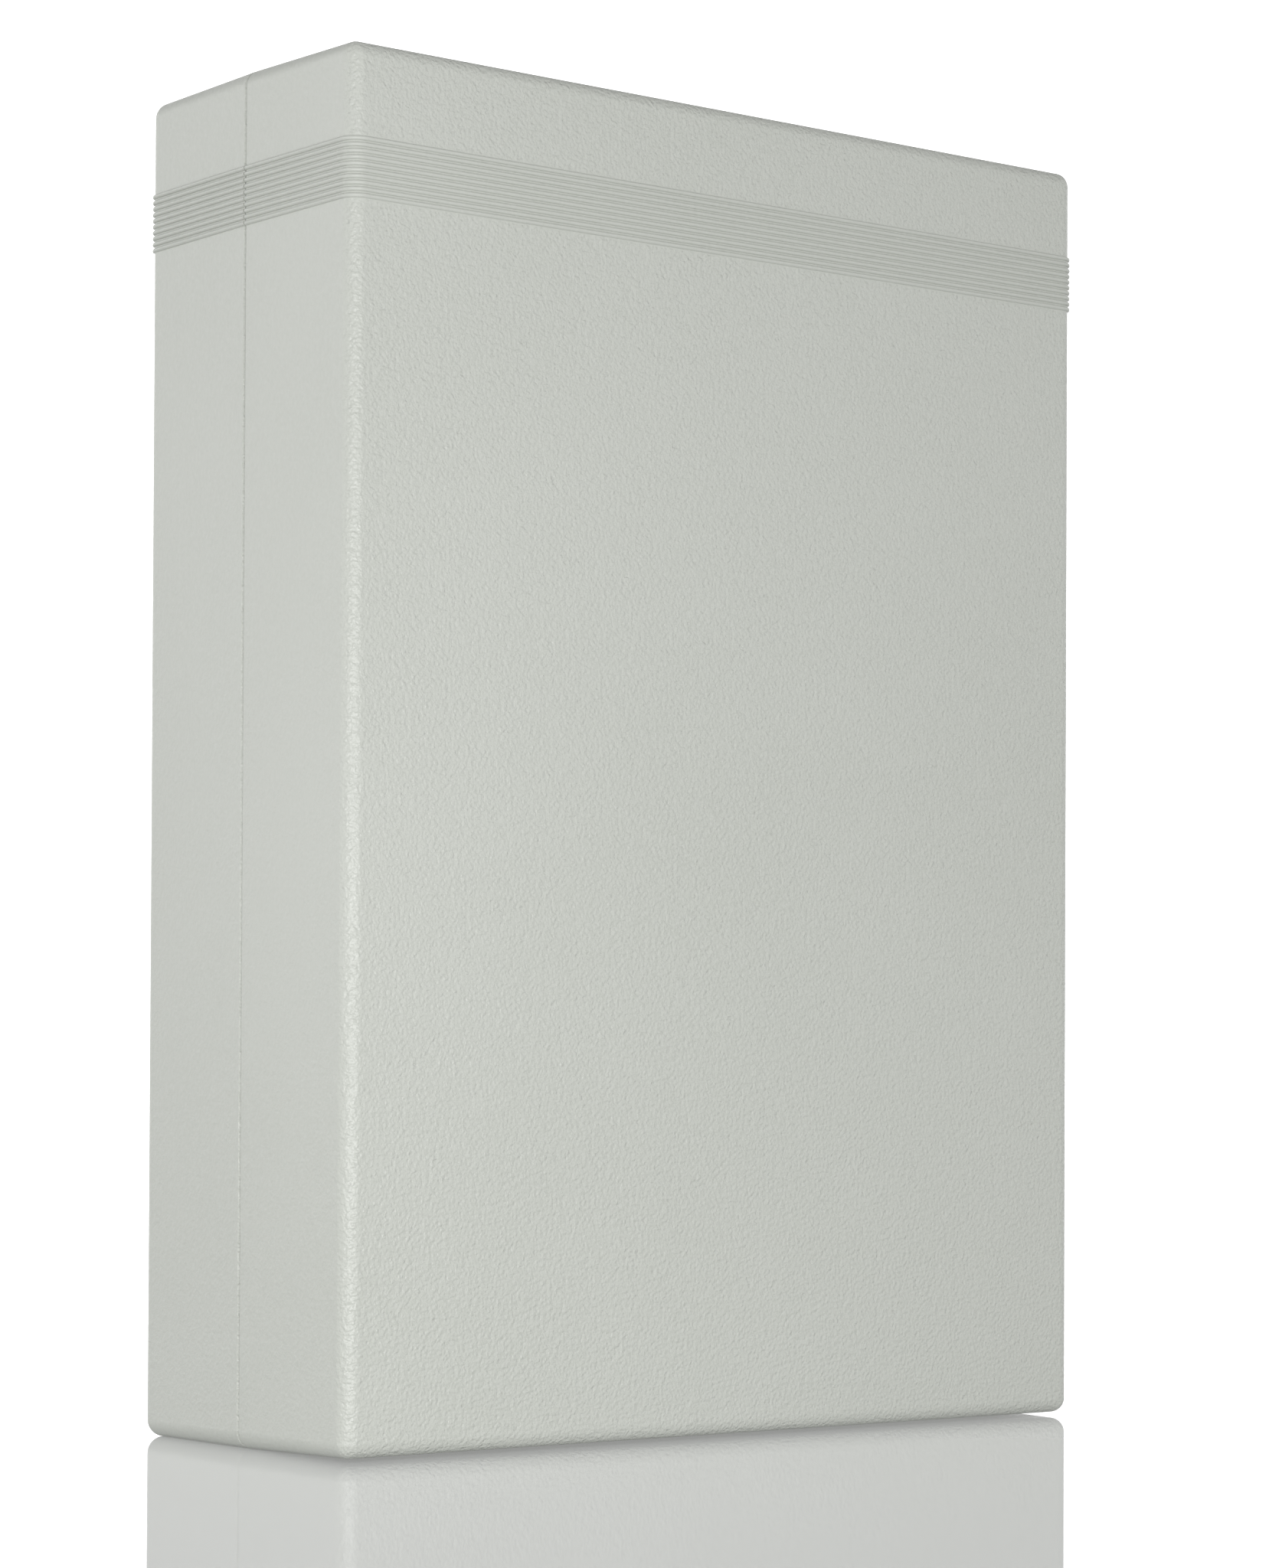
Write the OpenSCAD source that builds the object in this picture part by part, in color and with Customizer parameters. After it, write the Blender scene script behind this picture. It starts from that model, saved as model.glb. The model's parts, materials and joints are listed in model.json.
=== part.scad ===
// Wall battery unit: a two-part moulded case that holds two sealed 12 V batteries and their charger board.
// Millimetres, +Z up. The seam between the two halves is the plane y = 0, the cover faces -Y,
// and the origin is on the base, below the middle of the seam.

/* [Case] */
// Width across the seam
case_w = 232; // [230:1:245]
// Height
case_h = 330; // [328:1:345]
// Depth of the rear half, seam to back face
rear_d = 44.6; // [44.6:0.2:50]
// Depth of the front cover, seam to front face, without its ribs
cover_d = 44; // [42:0.5:50]
// Wall thickness
wall = 3; // [2.8:0.1:3]
// Corner radius of the outline, seen from the front
corner_r = 4.5; // [4.5:0.5:9]
// Radius along the edges of the front face
front_r = 4; // [3:0.5:5]
// Radius along the edges of the back face
back_r = 3.5; // [3:0.5:5]
// Draft of the cover's walls, in degrees
cover_draft = 1.1; // [0.2:0.1:1.5]
// Draft of the rear half's side and top walls, in degrees
rear_draft = 0.45; // [0.1:0.05:1]
// Gap between the halves at the seam
seam_gap = 0.3; // [0.2:0.05:0.5]

/* [Rib band] */
// Number of ribs round the upper part of the case
rib_count = 10; // [4:1:14]
// Distance from rib to rib
rib_pitch = 1.475; // [1.3:0.025:1.8]
// How far each rib stands out of the wall
rib_proud = 0.6; // [0.3:0.05:0.9]
// Height of the lowest rib's middle above the base
rib_low_z = 292.8; // [280:0.1:300]

/* [Wall fixing and cable entries] */
// Distance between the wall screws across the case
fixing_w = 196; // [190:1:200]
// Distance between the wall screws up the case
fixing_h = 270; // [200:1:275]
// Diameter of the wall screw holes
fixing_bore = 5.5; // [4:0.5:6]
// Diameter of the bore of each cable grommet
cable_bore = 9; // [5:0.5:11]

/* [Batteries] */
// Width of a 12 V 7 Ah sealed battery
battery_w = 151; // [140:1:152]
// Depth of a battery
battery_d = 65; // [60:1:65]
// Height of a battery without its tabs
battery_h = 94; // [90:1:94]

/* [Board] */
// Width of the charger board
board_w = 172; // [166:1:174]
// Height of the charger board
board_h = 92; // [90:1:93]
// Thickness of the charger board
board_t = 1.6; // [1:0.2:2]

/* [Hidden] */

case_colour = "#c9ccc4";
steel_colour = "#b9bcc0";
black_plastic = "#2b2c2e";

corner_steps = 6;
corner_least = 0.8;
fillet_steps = 7;
overcut = 1;

// Seam: the tongue of the cover stands inside the rim of the rear half
tongue_play = 0.3;
tongue_t = 1.5;
tongue_reach = 2.2;
gasket_in = 1.05;
gasket_w = 1.1;
gasket_d = 1.3;

// Hooks at the top of the cover, which turn about the outer top edge of the seam
hook_xs = [-60, 60];
hook_w = 12;
hook_end = 8;
hook_nose = 2.2;
hook_rise = 2;
hook_low = 5.2;

// Screws that hold the cover's lower edge
cover_screw_xs = [-95, 95];
cover_screw_y = -8;
cover_screw_r = 2;
head_recess_z = 3;
pad_top = 6;
lug_low = 6.8;
lug_top = 15;
lug_w = 14;

// Cable grommets in the floor of the rear half
grommet_xs = [-98, 98];
grommet_y = 27;
grommet_neck_r = 7.5;
grommet_flange_r = 11;
grommet_flange_t = 1.6;
grommet_pad_top = 6;

// Batteries and their brackets
back_inner = rear_d - wall;
pad_t = 1;
battery_back = back_inner - pad_t;
battery_front = battery_back - battery_d;
battery_lid_h = 8;
lower_z = 8;
shelf_t = 2;
shelf_plate = 1.5;
upper_z = 116;
shelf_z = upper_z - 1 - shelf_t;
tab_x = 64;
tab_y = battery_front + 11;
strap_t = 1.2;
strap_h = 20;
lower_strap_z = 55;
upper_strap_z = 163;
ear_x = 86;
boss_r = 5;
boss_front = 8;
pilot_r = 1.7;

// Charger board
board_back = 31.6;
board_front = board_back - board_t;
board_z = 226;
board_xs = [-80, 0, 80];
board_zs = [board_z + 6, board_z + board_h - 6];
standoff_r = 4;
rocker_x = 66;
rocker_z = 296;
rocker_pivot_y = 13;
rocker_tilt = 11;
rocker_pin_r = 1.2;
button_x = 72;
button_z = 266;

// Leads
lead_r = 1.4;
lead_sides = 8;
lead_clip_xz = [[-100, 165], [101, 165]];
negative_route = [[-78.2, -13, 106.5], [-88, -12, 106.8], [-97, -4, 110], [-100, 12, 118], [-100, 29, 131],
    [-100, 36, 148], [-100, 36, 158], [-100, 36, 172], [-100, 36, 185], [-98, 33, 203], [-90, 27, 215],
    [-76, 23, 217], [-68, 22.6, 220], [-66.2, 22.5, 224], [-66, 22.5, 227.8]];
positive_route = [[78.2, -13, 214.5], [87, -12.4, 215.2], [93, -7, 217.5], [93, 2, 219.5], [86, 11, 220],
    [76, 18, 220], [68, 22, 221.5], [66.2, 22.5, 224.5], [66, 22.5, 227.8]];
link_route = [[78.2, -13, 106.5], [88, -12, 106.8], [97, -4, 110], [101, 12, 118], [101, 29, 131],
    [101, 36, 148], [101, 36, 158], [101, 36, 172], [101, 36, 185], [98, 32, 202], [86, 22, 213],
    [60, 12, 215], [20, 6, 214.5], [-20, -4, 214.5], [-36, -11, 214.5], [-49.8, -13, 214.5]];

// ---------------------------------------------------------------- outlines and lofts

// Points of a rounded rectangle in a plane of constant y, anticlockwise seen from the front
function outline(y, half_w, low, high, r) =
    [for (c = [[1, 1, 0], [-1, 1, 90], [-1, -1, 180], [1, -1, 270]])
        for (i = [0:corner_steps])
            let (a = c[2] + 90 * i / corner_steps)
            [c[0] * (half_w - r) + r * cos(a), y,
             (c[1] > 0 ? high - r : low + r) + r * sin(a)]];

// Solid between planar rings of equal point counts; each ring is anticlockwise seen along the path
module loft(rings) {
    n = len(rings[0]);
    last = len(rings) - 1;
    sides = [for (j = [0:last - 1]) for (i = [0:n - 1])
        let (a = j * n + i, b = j * n + (i + 1) % n)
        each [[a, b, b + n], [a, b + n, a + n]]];
    start_cap = [for (i = [n - 1:-1:0]) i];
    end_cap = [for (i = [0:n - 1]) last * n + i];
    polyhedron(points = [for (ring = rings) each ring], faces = concat(sides, [start_cap, end_cap]),
        convexity = 6);
}

// Corner radius of an outline that has come in by inset
function corner_at(inset) = max(corner_r - inset, corner_least);

// How far a drafted wall and its end fillet have come in, at angle a round the fillet
function fillet_inset(depth, r, draft, a) = (r + (depth - r) * sin(draft)) / cos(draft) - r * cos(a);
function fillet_depth(depth, r, a) = depth - r + r * sin(a);

function cover_ring(a) =
    let (inset = fillet_inset(cover_d, front_r, cover_draft, a))
    outline(-fillet_depth(cover_d, front_r, a), case_w / 2 - inset, inset, case_h - inset, corner_at(inset));

function rear_ring(a) =
    let (inset = fillet_inset(rear_d, back_r, rear_draft, a), floor_inset = back_r * (1 - cos(a)))
    outline(fillet_depth(rear_d, back_r, a), case_w / 2 - inset, floor_inset, case_h - inset,
        corner_at(inset));

module cover_outside() {
    loft(concat(
        [for (i = [fillet_steps:-1:0]) cover_ring(cover_draft + (90 - cover_draft) * i / fillet_steps)],
        [outline(-seam_gap / 2, case_w / 2, 0, case_h, corner_r)]));
}

module rear_outside() {
    loft(concat(
        [outline(seam_gap / 2, case_w / 2, 0, case_h, corner_r)],
        [for (i = [0:fillet_steps]) rear_ring(rear_draft + (90 - rear_draft) * i / fillet_steps)]));
}

// Hollow of a half: a drafted space with its deep edges chamfered, in the direction side = -1 or 1
module hollow(side, depth, draft) {
    deep = depth - wall;
    chamfer = 1.2;
    steps = [[deep, chamfer], [deep - chamfer, 0], [-overcut, 0]];
    rings = [for (s = steps)
        let (inset = wall + max(s[0], 0) * tan(draft) + s[1])
        outline(side * s[0], case_w / 2 - inset, inset, case_h - inset, corner_at(inset))];
    loft(side < 0 ? rings : [for (i = [2:-1:0]) rings[i]]);
}

// Flat rounded ring round the case, from inset a to inset b, between y0 and y1
module seam_ring(a, b, y0, y1) {
    translate([0, y1, case_h / 2]) rotate([90, 0, 0]) linear_extrude(y1 - y0) difference() {
        rounded_rect(case_w - 2 * a, case_h - 2 * a, corner_at(a));
        rounded_rect(case_w - 2 * b, case_h - 2 * b, corner_at(b));
    }
}

module rounded_rect(w, h, r) {
    square([w - 2 * r, h], center = true);
    square([w, h - 2 * r], center = true);
    for (x = [-1, 1], y = [-1, 1])
        translate([x * (w / 2 - r), y * (h / 2 - r)]) circle(r = r, $fn = 32);
}

// ---------------------------------------------------------------- rib band

rib_half = 0.56;
rib_steps = 6;
rib_root = 0.6;
rib_end = seam_gap / 2 + 0.1;
rib_lift = 0.03;

// Section of the band: [distance out of the wall, height], closed inside the wall
rib_section = concat(
    [[-rib_root, rib_low_z - rib_half]],
    [for (k = [0:rib_count - 1]) for (i = [0:rib_steps])
        let (a = 180 * i / rib_steps)
        [rib_lift + (rib_proud - rib_lift) * sin(a), rib_low_z + k * rib_pitch - rib_half * cos(a)]],
    [[-rib_root, rib_low_z + (rib_count - 1) * rib_pitch + rib_half]]);

// Ring of the band at a point of the wall whose outward direction is d
function rib_ring(p, d) = [for (s = rib_section) [p[0] + s[0] * d[0], p[1] + s[0] * d[1], s[1]]];

// Station on the cover's left wall or its fillet, at angle a round the fillet
function left_station(a) =
    let (x = -case_w / 2 + fillet_inset(cover_d, front_r, cover_draft, a),
         y = -fillet_depth(cover_d, front_r, a))
    rib_ring([x, y], [-cos(a), -sin(a)]);

function mirrored(ring) = [for (p = ring) [-p[0], p[1], p[2]]];

module cover_ribs() {
    left = concat(
        [rib_ring([-case_w / 2 + rib_end * tan(cover_draft), -rib_end],
            [-cos(cover_draft), -sin(cover_draft)])],
        [for (i = [0:fillet_steps])
            left_station(cover_draft + (90 - cover_draft) * i / fillet_steps)]);
    n = len(left);
    loft(concat(left, [for (i = [n - 1:-1:0]) mirrored(left[i])]));
}

// Straight strips on the two sides, from the seam to where the back edge starts to round
module rear_ribs() {
    strip = rear_d - back_r - rib_end;
    for (s = [0, 1]) mirror([s, 0, 0])
        translate([-case_w / 2, rib_end, 0]) rotate([0, 0, -rear_draft])
            translate([0, strip, 0]) rotate([90, 0, 0])
                linear_extrude(strip) polygon([for (p = rib_section) [-p[0], p[1]]]);
}

// ---------------------------------------------------------------- shared shapes

// Cylinder along +Y from y0 to y1
module rod_y(x, z, r, y0, y1, fn = 48) {
    translate([x, y0, z]) rotate([-90, 0, 0]) cylinder(r = r, h = y1 - y0, $fn = fn);
}

module block(low, high) {
    translate(low) cube(high - low);
}

// Pan head screw: bearing face at the origin, shank along -Z, head above with a cross recess
module screw(shank_r, shank_h, head_r, head_h) {
    slot_w = head_r * 0.3;
    difference() {
        union() {
            translate([0, 0, -shank_h]) cylinder(r = shank_r, h = shank_h, $fn = 32);
            cylinder(r1 = head_r, r2 = head_r * 0.82, h = head_h, $fn = 32);
        }
        for (a = [0, 90]) rotate([0, 0, a])
            translate([-head_r * 0.6, -slot_w / 2, head_h * 0.4]) cube([head_r * 1.2, slot_w, head_h]);
    }
}

// Screw driven along +Y, its bearing face at depth y
module screw_y(x, y, z, shank_r, shank_h, head_r, head_h) {
    translate([x, y, z]) rotate([90, 0, 0]) screw(shank_r, shank_h, head_r, head_h);
}

bracket_points = [for (x = [-ear_x, ear_x]) for (z = [lower_strap_z, shelf_z - 7, upper_strap_z]) [x, z]];
board_points = [for (x = board_xs) for (z = board_zs) [x, z]];

// ---------------------------------------------------------------- case

vent_count = 6;
vent_pitch = 8;
vent_w = 2.4;
vent_y = [14, 34];

module vent_slots(z0, z1) {
    for (i = [0:vent_count - 1])
        let (x = (i - (vent_count - 1) / 2) * vent_pitch)
        block([x - vent_w / 2, vent_y[0], z0], [x + vent_w / 2, vent_y[1], z1]);
}

module rear_case() color(case_colour) {
    difference() {
        union() {
            difference() {
                union() {
                    rear_outside();
                    rear_ribs();
                }
                hollow(1, rear_d, rear_draft);
            }
            // Bosses for the battery brackets and standoffs for the board
            for (p = bracket_points) rod_y(p[0], p[1], boss_r, boss_front, back_inner + overcut);
            for (p = board_points) rod_y(p[0], p[1], standoff_r, board_back, back_inner + overcut);
            // Lugs that reach forward over the cover's lower edge
            for (x = cover_screw_xs) {
                block([x - lug_w / 2, -14, lug_low], [x + lug_w / 2, 12, lug_top]);
                block([x - lug_w / 2, 4, wall - 0.5], [x + lug_w / 2, 12, lug_low + 0.5]);
            }
            // Ribs under the lower battery
            for (x = [-60, -20, 20, 60])
                block([x - 1, 5, wall - 0.5], [x + 1, back_inner + 0.5, lower_z]);
            // Thick rings round the cable entries
            for (x = grommet_xs)
                translate([x, grommet_y, wall - 0.5])
                    cylinder(r = grommet_flange_r + 2, h = grommet_pad_top - wall + 0.5, $fn = 64);
        }
        for (p = bracket_points) rod_y(p[0], p[1], pilot_r, boss_front - overcut, boss_front + 18, 32);
        for (p = board_points) rod_y(p[0], p[1], 1.3, board_back - overcut, back_inner - 1, 32);
        for (x = cover_screw_xs)
            translate([x, cover_screw_y, lug_low - overcut])
                cylinder(r = 3, h = lug_top - lug_low + 2 * overcut, $fn = 32);
        for (x = [-fixing_w / 2, fixing_w / 2], z = [30, 30 + fixing_h])
            rod_y(x, z, fixing_bore / 2, back_inner - overcut, rear_d + overcut);
        for (x = grommet_xs) translate([x, grommet_y, 0]) {
            translate([0, 0, -overcut])
                cylinder(r = grommet_flange_r + 0.2, h = grommet_flange_t + 0.2 + overcut, $fn = 64);
            cylinder(r = grommet_neck_r, h = grommet_pad_top + overcut, $fn = 64);
        }
        // Pockets above the noses of the cover's hooks
        for (x = hook_xs)
            block([x - hook_w / 2 - 1, 5, case_h - wall - 2],
                [x + hook_w / 2 + 1, hook_end + 1.5, case_h - 1.5]);
        seam_ring(gasket_in - 0.05, gasket_in + gasket_w + 0.05, -overcut, seam_gap / 2 + gasket_d);
        vent_slots(-overcut, wall + overcut);
        vent_slots(case_h - wall - 2 * overcut, case_h + overcut);
    }
}

module front_cover() color(case_colour) {
    inner_front = -(cover_d - wall);
    difference() {
        union() {
            resize([0, 0, 0]) difference() {
                union() {
                    cover_outside();
                    cover_ribs();
                }
                hollow(-1, cover_d, cover_draft);
            }
            // Tongue, and the thick rim that it grows from
            seam_ring(wall - 0.6, wall + tongue_play + tongue_t, -6, -seam_gap);
            seam_ring(wall + tongue_play, wall + tongue_play + tongue_t, -3, tongue_reach);
            // Hooks
            for (x = hook_xs) {
                block([x - hook_w / 2, -7, case_h - hook_low],
                    [x + hook_w / 2, hook_end, case_h - wall - tongue_play]);
                block([x - hook_w / 2, hook_end - hook_nose, case_h - hook_low],
                    [x + hook_w / 2, hook_end, case_h - hook_rise]);
            }
            // Pads over the lower screws
            for (x = cover_screw_xs) block([x - 9, -17, wall - 0.5], [x + 9, -seam_gap, pad_top]);
            // Stiffening ribs inside the front face
            for (x = [-76, -38, 0, 38, 76])
                block([x - 0.8, inner_front - 0.5, 12], [x + 0.8, inner_front + 2.2, case_h - 12]);
            for (z = [70, 140, 210, 280])
                block([-case_w / 2 + 10, inner_front - 0.5, z - 0.8],
                    [case_w / 2 - 10, inner_front + 2.2, z + 0.8]);
        }
        // Each screw leaves the cover through a notch that is open at the seam
        for (x = cover_screw_xs) {
            screw_notch(x, 4, -overcut, head_recess_z);
            screw_notch(x, cover_screw_r + 0.3, 0, pad_top + overcut);
        }
    }
}

module screw_notch(x, r, z0, z1) {
    translate([x, cover_screw_y, z0]) cylinder(r = r, h = z1 - z0, $fn = 32);
    block([x - r, cover_screw_y, z0], [x + r, tongue_reach + overcut, z1]);
}

module seam_gasket() color(black_plastic)
    seam_ring(gasket_in, gasket_in + gasket_w, 0.1, 1.4);

module cover_screws() color(steel_colour)
    for (x = cover_screw_xs)
        translate([x, cover_screw_y, head_recess_z - 0.3]) mirror([0, 0, 1])
            screw(cover_screw_r, 11, 3.5, 2.3);

module cover_inserts() color("#b8964a")
    for (x = cover_screw_xs) translate([x, cover_screw_y, lug_low]) difference() {
        cylinder(r = 2.98, h = lug_top - lug_low, $fn = 32);
        translate([0, 0, -overcut]) cylinder(r = cover_screw_r + 0.05, h = lug_top, $fn = 32);
    }

// Rubber grommet: flange in the recess under the floor, neck through the hole, bead inside
module cable_grommets() color(black_plastic)
    for (x = grommet_xs) translate([x, grommet_y, 0]) difference() {
        rotate_extrude($fn = 64) polygon([
            [cable_bore / 2, 0.2], [grommet_flange_r, 0.2], [grommet_flange_r, grommet_flange_t],
            [grommet_neck_r - 0.05, grommet_flange_t], [grommet_neck_r - 0.05, grommet_pad_top],
            [grommet_neck_r + 1.2, grommet_pad_top], [grommet_neck_r + 0.6, grommet_pad_top + 1.6],
            [cable_bore / 2, grommet_pad_top + 2.2]]);
        translate([0, 0, -overcut]) cylinder(r = cable_bore / 2, h = 12, $fn = 64);
    }

// ---------------------------------------------------------------- batteries

module battery_prism(z0, z1, grow) {
    translate([0, (battery_front + battery_back) / 2, z0]) linear_extrude(z1 - z0)
        rounded_rect(battery_w + 2 * grow, battery_d + 2 * grow, 2.5);
}

module battery_case(z0) color("#3a3c40") battery_prism(z0, z0 + battery_h - battery_lid_h, -0.4);

// Lid with a raised vent cover and a well round each tab
module battery_lid(z0) color("#2f3134") {
    top = z0 + battery_h;
    difference() {
        union() {
            battery_prism(z0 + battery_h - battery_lid_h, top - 1.4, 0);
            block([-48, 2, top - 2], [48, 26, top]);
        }
        for (x = [-tab_x, tab_x]) block([x - 5, tab_y - 4, top - 3.4], [x + 5, tab_y + 4, top]);
    }
}

module battery_tabs(z0) color(steel_colour)
    for (x = [-tab_x, tab_x])
        block([x - 3.15, tab_y - 0.4, z0 + battery_h - 3.4], [x + 3.15, tab_y + 0.4, z0 + battery_h + 6]);

module battery_lower_case() battery_case(lower_z);
module battery_lower_lid() battery_lid(lower_z);
module battery_lower_tabs() battery_tabs(lower_z);
module battery_upper_case() battery_case(upper_z);
module battery_upper_lid() battery_lid(upper_z);
module battery_upper_tabs() battery_tabs(upper_z);

// Foam between the batteries and the back wall, and between the upper battery and its shelf
module battery_pads() color("#4a4a4c") {
    for (z = [lower_z + 14, upper_z + 14]) for (x = [-50, 50])
        block([x - 15, battery_back, z], [x + 15, back_inner, z + 55]);
    for (x = [-50, 50]) block([x - 12, battery_front + 4, upper_z - 1], [x + 12, battery_back - 4, upper_z]);
}

// Steel shelf with a front lip and two ears that are screwed to the bosses
module battery_shelf() color(steel_colour) {
    half = battery_w / 2 + 1;
    lip_y = battery_front - 2.4;
    difference() {
        union() {
            block([-half, lip_y, shelf_z], [half, back_inner - 0.3, shelf_z + shelf_t]);
            block([-half + 8, lip_y, shelf_z], [half - 8, lip_y + 1.6, shelf_z + 12]);
            for (s = [-1, 1]) {
                block([s * (ear_x - 1) - 8.5, boss_front - shelf_plate, shelf_z],
                    [s * (ear_x - 1) + 8.5, 26, shelf_z + shelf_t]);
                block([s * ear_x - 7, boss_front - shelf_plate, shelf_z - 14],
                    [s * ear_x + 7, boss_front, shelf_z + 1]);
            }
        }
        for (s = [-1, 1]) rod_y(s * ear_x, shelf_z - 7, 2.2, 0, 20, 32);
        for (x = [-45, -15, 15, 45]) translate([x, 8, shelf_z - 1]) cylinder(r = 9, h = 6, $fn = 48);
    }
}

// Steel strap across the front of a battery, with a foot on each side
module battery_strap(z) color(steel_colour) {
    half = battery_w / 2 + 1.5 + strap_t;
    front = battery_front - 0.6 - strap_t;
    low = z - strap_h / 2;
    high = z + strap_h / 2;
    difference() {
        union() {
            block([-half, front, low], [half, front + strap_t, high]);
            for (s = [-1, 1]) {
                block([s * (half - strap_t / 2) - strap_t / 2, front, low],
                    [s * (half - strap_t / 2) + strap_t / 2, boss_front, high]);
                block([s * 84.5 - 8.2, boss_front - strap_t, low], [s * 84.5 + 8.2, boss_front, high]);
            }
        }
        for (s = [-1, 1]) rod_y(s * ear_x, z, 2.2, 0, 20, 32);
    }
}

module lower_strap() battery_strap(lower_strap_z);
module upper_strap() battery_strap(upper_strap_z);

module bracket_screws() color(steel_colour)
    for (p = bracket_points)
        let (plate = p[1] == shelf_z - 7 ? shelf_plate : strap_t)
        screw_y(p[0], boss_front - plate, p[1], pilot_r - 0.05, 16, 4, 2.6);

// ---------------------------------------------------------------- charger board

module charger_board() color("#1f6b45") difference() {
    block([-board_w / 2, board_front, board_z], [board_w / 2, board_back, board_z + board_h]);
    for (p = board_points) rod_y(p[0], p[1], 1.7, 20, 40, 32);
}

module board_screws() color(steel_colour)
    for (p = board_points) screw_y(p[0], board_front, p[1], 1.25, 9, 2.9, 2);

// Extruded heatsink standing on the board, with its fins upward
module heatsink() color("#8d9196")
    translate([-80, board_front - 0.5, 270]) rotate([90, 0, 0]) linear_extrude(25) {
        square([42, 3]);
        for (i = [0:7]) translate([0.4 + i * 5.7, 2]) square([1.3, 26]);
    }

transistor_xs = [-73, -59, -45];

module power_transistors() color(black_plastic)
    for (x = transistor_xs) {
        block([x - 5, 11, 265.4], [x + 5, 20, 270]);
        block([x - 5, 6, 268.7], [x + 5, 11, 270]);
        for (dx = [-2.54, 0, 2.54]) block([x + dx - 0.4, 20, 267.2], [x + dx + 0.4, board_front, 267.8]);
    }

module transistor_screws() color(steel_colour)
    for (x = transistor_xs) translate([x, 8.2, 268.7]) mirror([0, 0, 1]) difference() {
        cylinder(r = 2.1, h = 1.6, $fn = 32);
        translate([-1.5, -0.3, 0.8]) cube([3, 0.6, 2]);
    }

capacitors = [[-8, 257, 8, 28], [11, 257, 8, 28], [-66, 250, 5, 16], [-54, 250, 5, 16], [52, 280, 4, 12]];

module filter_capacitors() color("#20262e")
    for (c = capacitors) difference() {
        rod_y(c[0], c[1], c[2], board_front - c[3], board_front, 48);
        for (a = [0, 60, 120]) translate([c[0], board_front - c[3], c[1]]) rotate([0, a, 0])
            cube([c[2] * 1.3, 0.5, 0.5], center = true);
    }

// Ferrite core round a taped winding
module transformer_core() color("#3b3d40") difference() {
    block([-28, 6, 277], [8, 28, 305]);
    block([-23, 5, 283], [-15, 29, 299]);
    block([-5, 5, 283], [3, 29, 299]);
}

module transformer_winding() color("#c8a43a") {
    block([-22.7, 4, 283.3], [-15.3, board_front, 298.7]);
    block([-4.7, 4, 283.3], [2.7, board_front, 298.7]);
}

module inductor_core() color("#4b5a45")
    translate([32, 24, 288]) rotate([90, 0, 0]) rotate_extrude($fn = 64)
        translate([9.5, 0]) square([6, 9], center = true);

// Copper turns round the ring
module inductor_winding() color("#b5652e")
    translate([32, 24, 288]) for (i = [0:15]) rotate([0, 20 * i, 0]) translate([9.5, 0, 0]) difference() {
        cube([8.8, 11.8, 1.5], center = true);
        cube([6.2, 9.2, 2], center = true);
    }

module relay() color("#26436e") block([30, 14, 246], [58, board_front, 262]);

module terminal_block(x0, poles, pitch) {
    difference() {
        union() {
            block([x0, 19, 228], [x0 + poles * pitch, board_front, 241]);
            block([x0, 16, 233], [x0 + poles * pitch, 20, 241]);
        }
        for (i = [0:poles - 1]) let (x = x0 + (i + 0.5) * pitch) {
            block([x - 2.8, 22, 227], [x + 2.8, 27.5, 236]);
            rod_y(x, 237, 2.6, 10, 24, 32);
        }
    }
}

input_x = -50;
output_x = 6;
terminal_pitch = 10;

module input_terminals() color("#2f7d4f") terminal_block(input_x, 3, terminal_pitch);
module output_terminals() color("#2f7d4f") terminal_block(output_x, 4, terminal_pitch);

module terminal_screws() color(steel_colour)
    for (x = concat([for (i = [0:2]) input_x + (i + 0.5) * terminal_pitch],
                    [for (i = [0:3]) output_x + (i + 0.5) * terminal_pitch]))
        difference() {
            rod_y(x, 237, 2.4, 18, 24, 32);
            block([x - 2, 17, 236.6], [x + 2, 18.8, 237.4]);
        }

fuse_z = 252;
fuse_y = 23;

module fuse_clips() color(steel_colour)
    for (x = [-42.5, -28]) difference() {
        block([x - 2.2, 21, fuse_z - 4], [x + 2.2, board_front, fuse_z + 4]);
        translate([x - 3, fuse_y, fuse_z]) rotate([0, 90, 0]) cylinder(r = 2.75, h = 6, $fn = 32);
        block([x - 3, 20, fuse_z - 2.2], [x + 3, fuse_y, fuse_z + 2.2]);
        block([x - 3, 26.5, fuse_z - 3.2], [x + 3, 29, fuse_z + 3.2]);
    }

module fuse_tube() color("#d8e2e2")
    translate([-40.2, fuse_y, fuse_z]) rotate([0, 90, 0]) difference() {
        cylinder(r = 2.5, h = 10, $fn = 32);
        translate([0, 0, -1]) cylinder(r = 1.8, h = 12, $fn = 32);
    }

module fuse_caps() color(steel_colour)
    for (x = [-45.2, -30.2])
        translate([x, fuse_y, fuse_z]) rotate([0, 90, 0]) cylinder(r = 2.7, h = 5, $fn = 32);

module control_chip() color(black_plastic) {
    block([18, 27.6, 264], [28, board_front, 270]);
    for (i = [0:6]) for (z = [263, 270])
        block([18.6 + i * 1.4, 28.6, z], [19.2 + i * 1.4, board_front, z + 1]);
}

// Chip resistors and ceramic capacitors in rows
module small_parts() color("#6d6250") {
    for (i = [0:7]) block([-36 + i * 4, 29.2, 268.5], [-34.4 + i * 4, board_front, 271.7]);
    for (i = [0:5]) block([30 + i * 4, 29.2, 266], [31.6 + i * 4, board_front, 269.2]);
    for (i = [0:4]) block([18 + i * 5, 28.8, 307], [20 + i * 5, board_front, 310.2]);
}

module led(x) translate([x, 0, 306]) {
    rod_y(0, 0, 2.5, 22, board_front - 1, 32);
    rod_y(0, 0, 3, board_front - 1, board_front, 32);
    translate([0, 22, 0]) sphere(r = 2.5, $fn = 32);
}

module led_green() color("#4fb25c") led(46);
module led_red() color("#c9453c") led(54);

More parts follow.
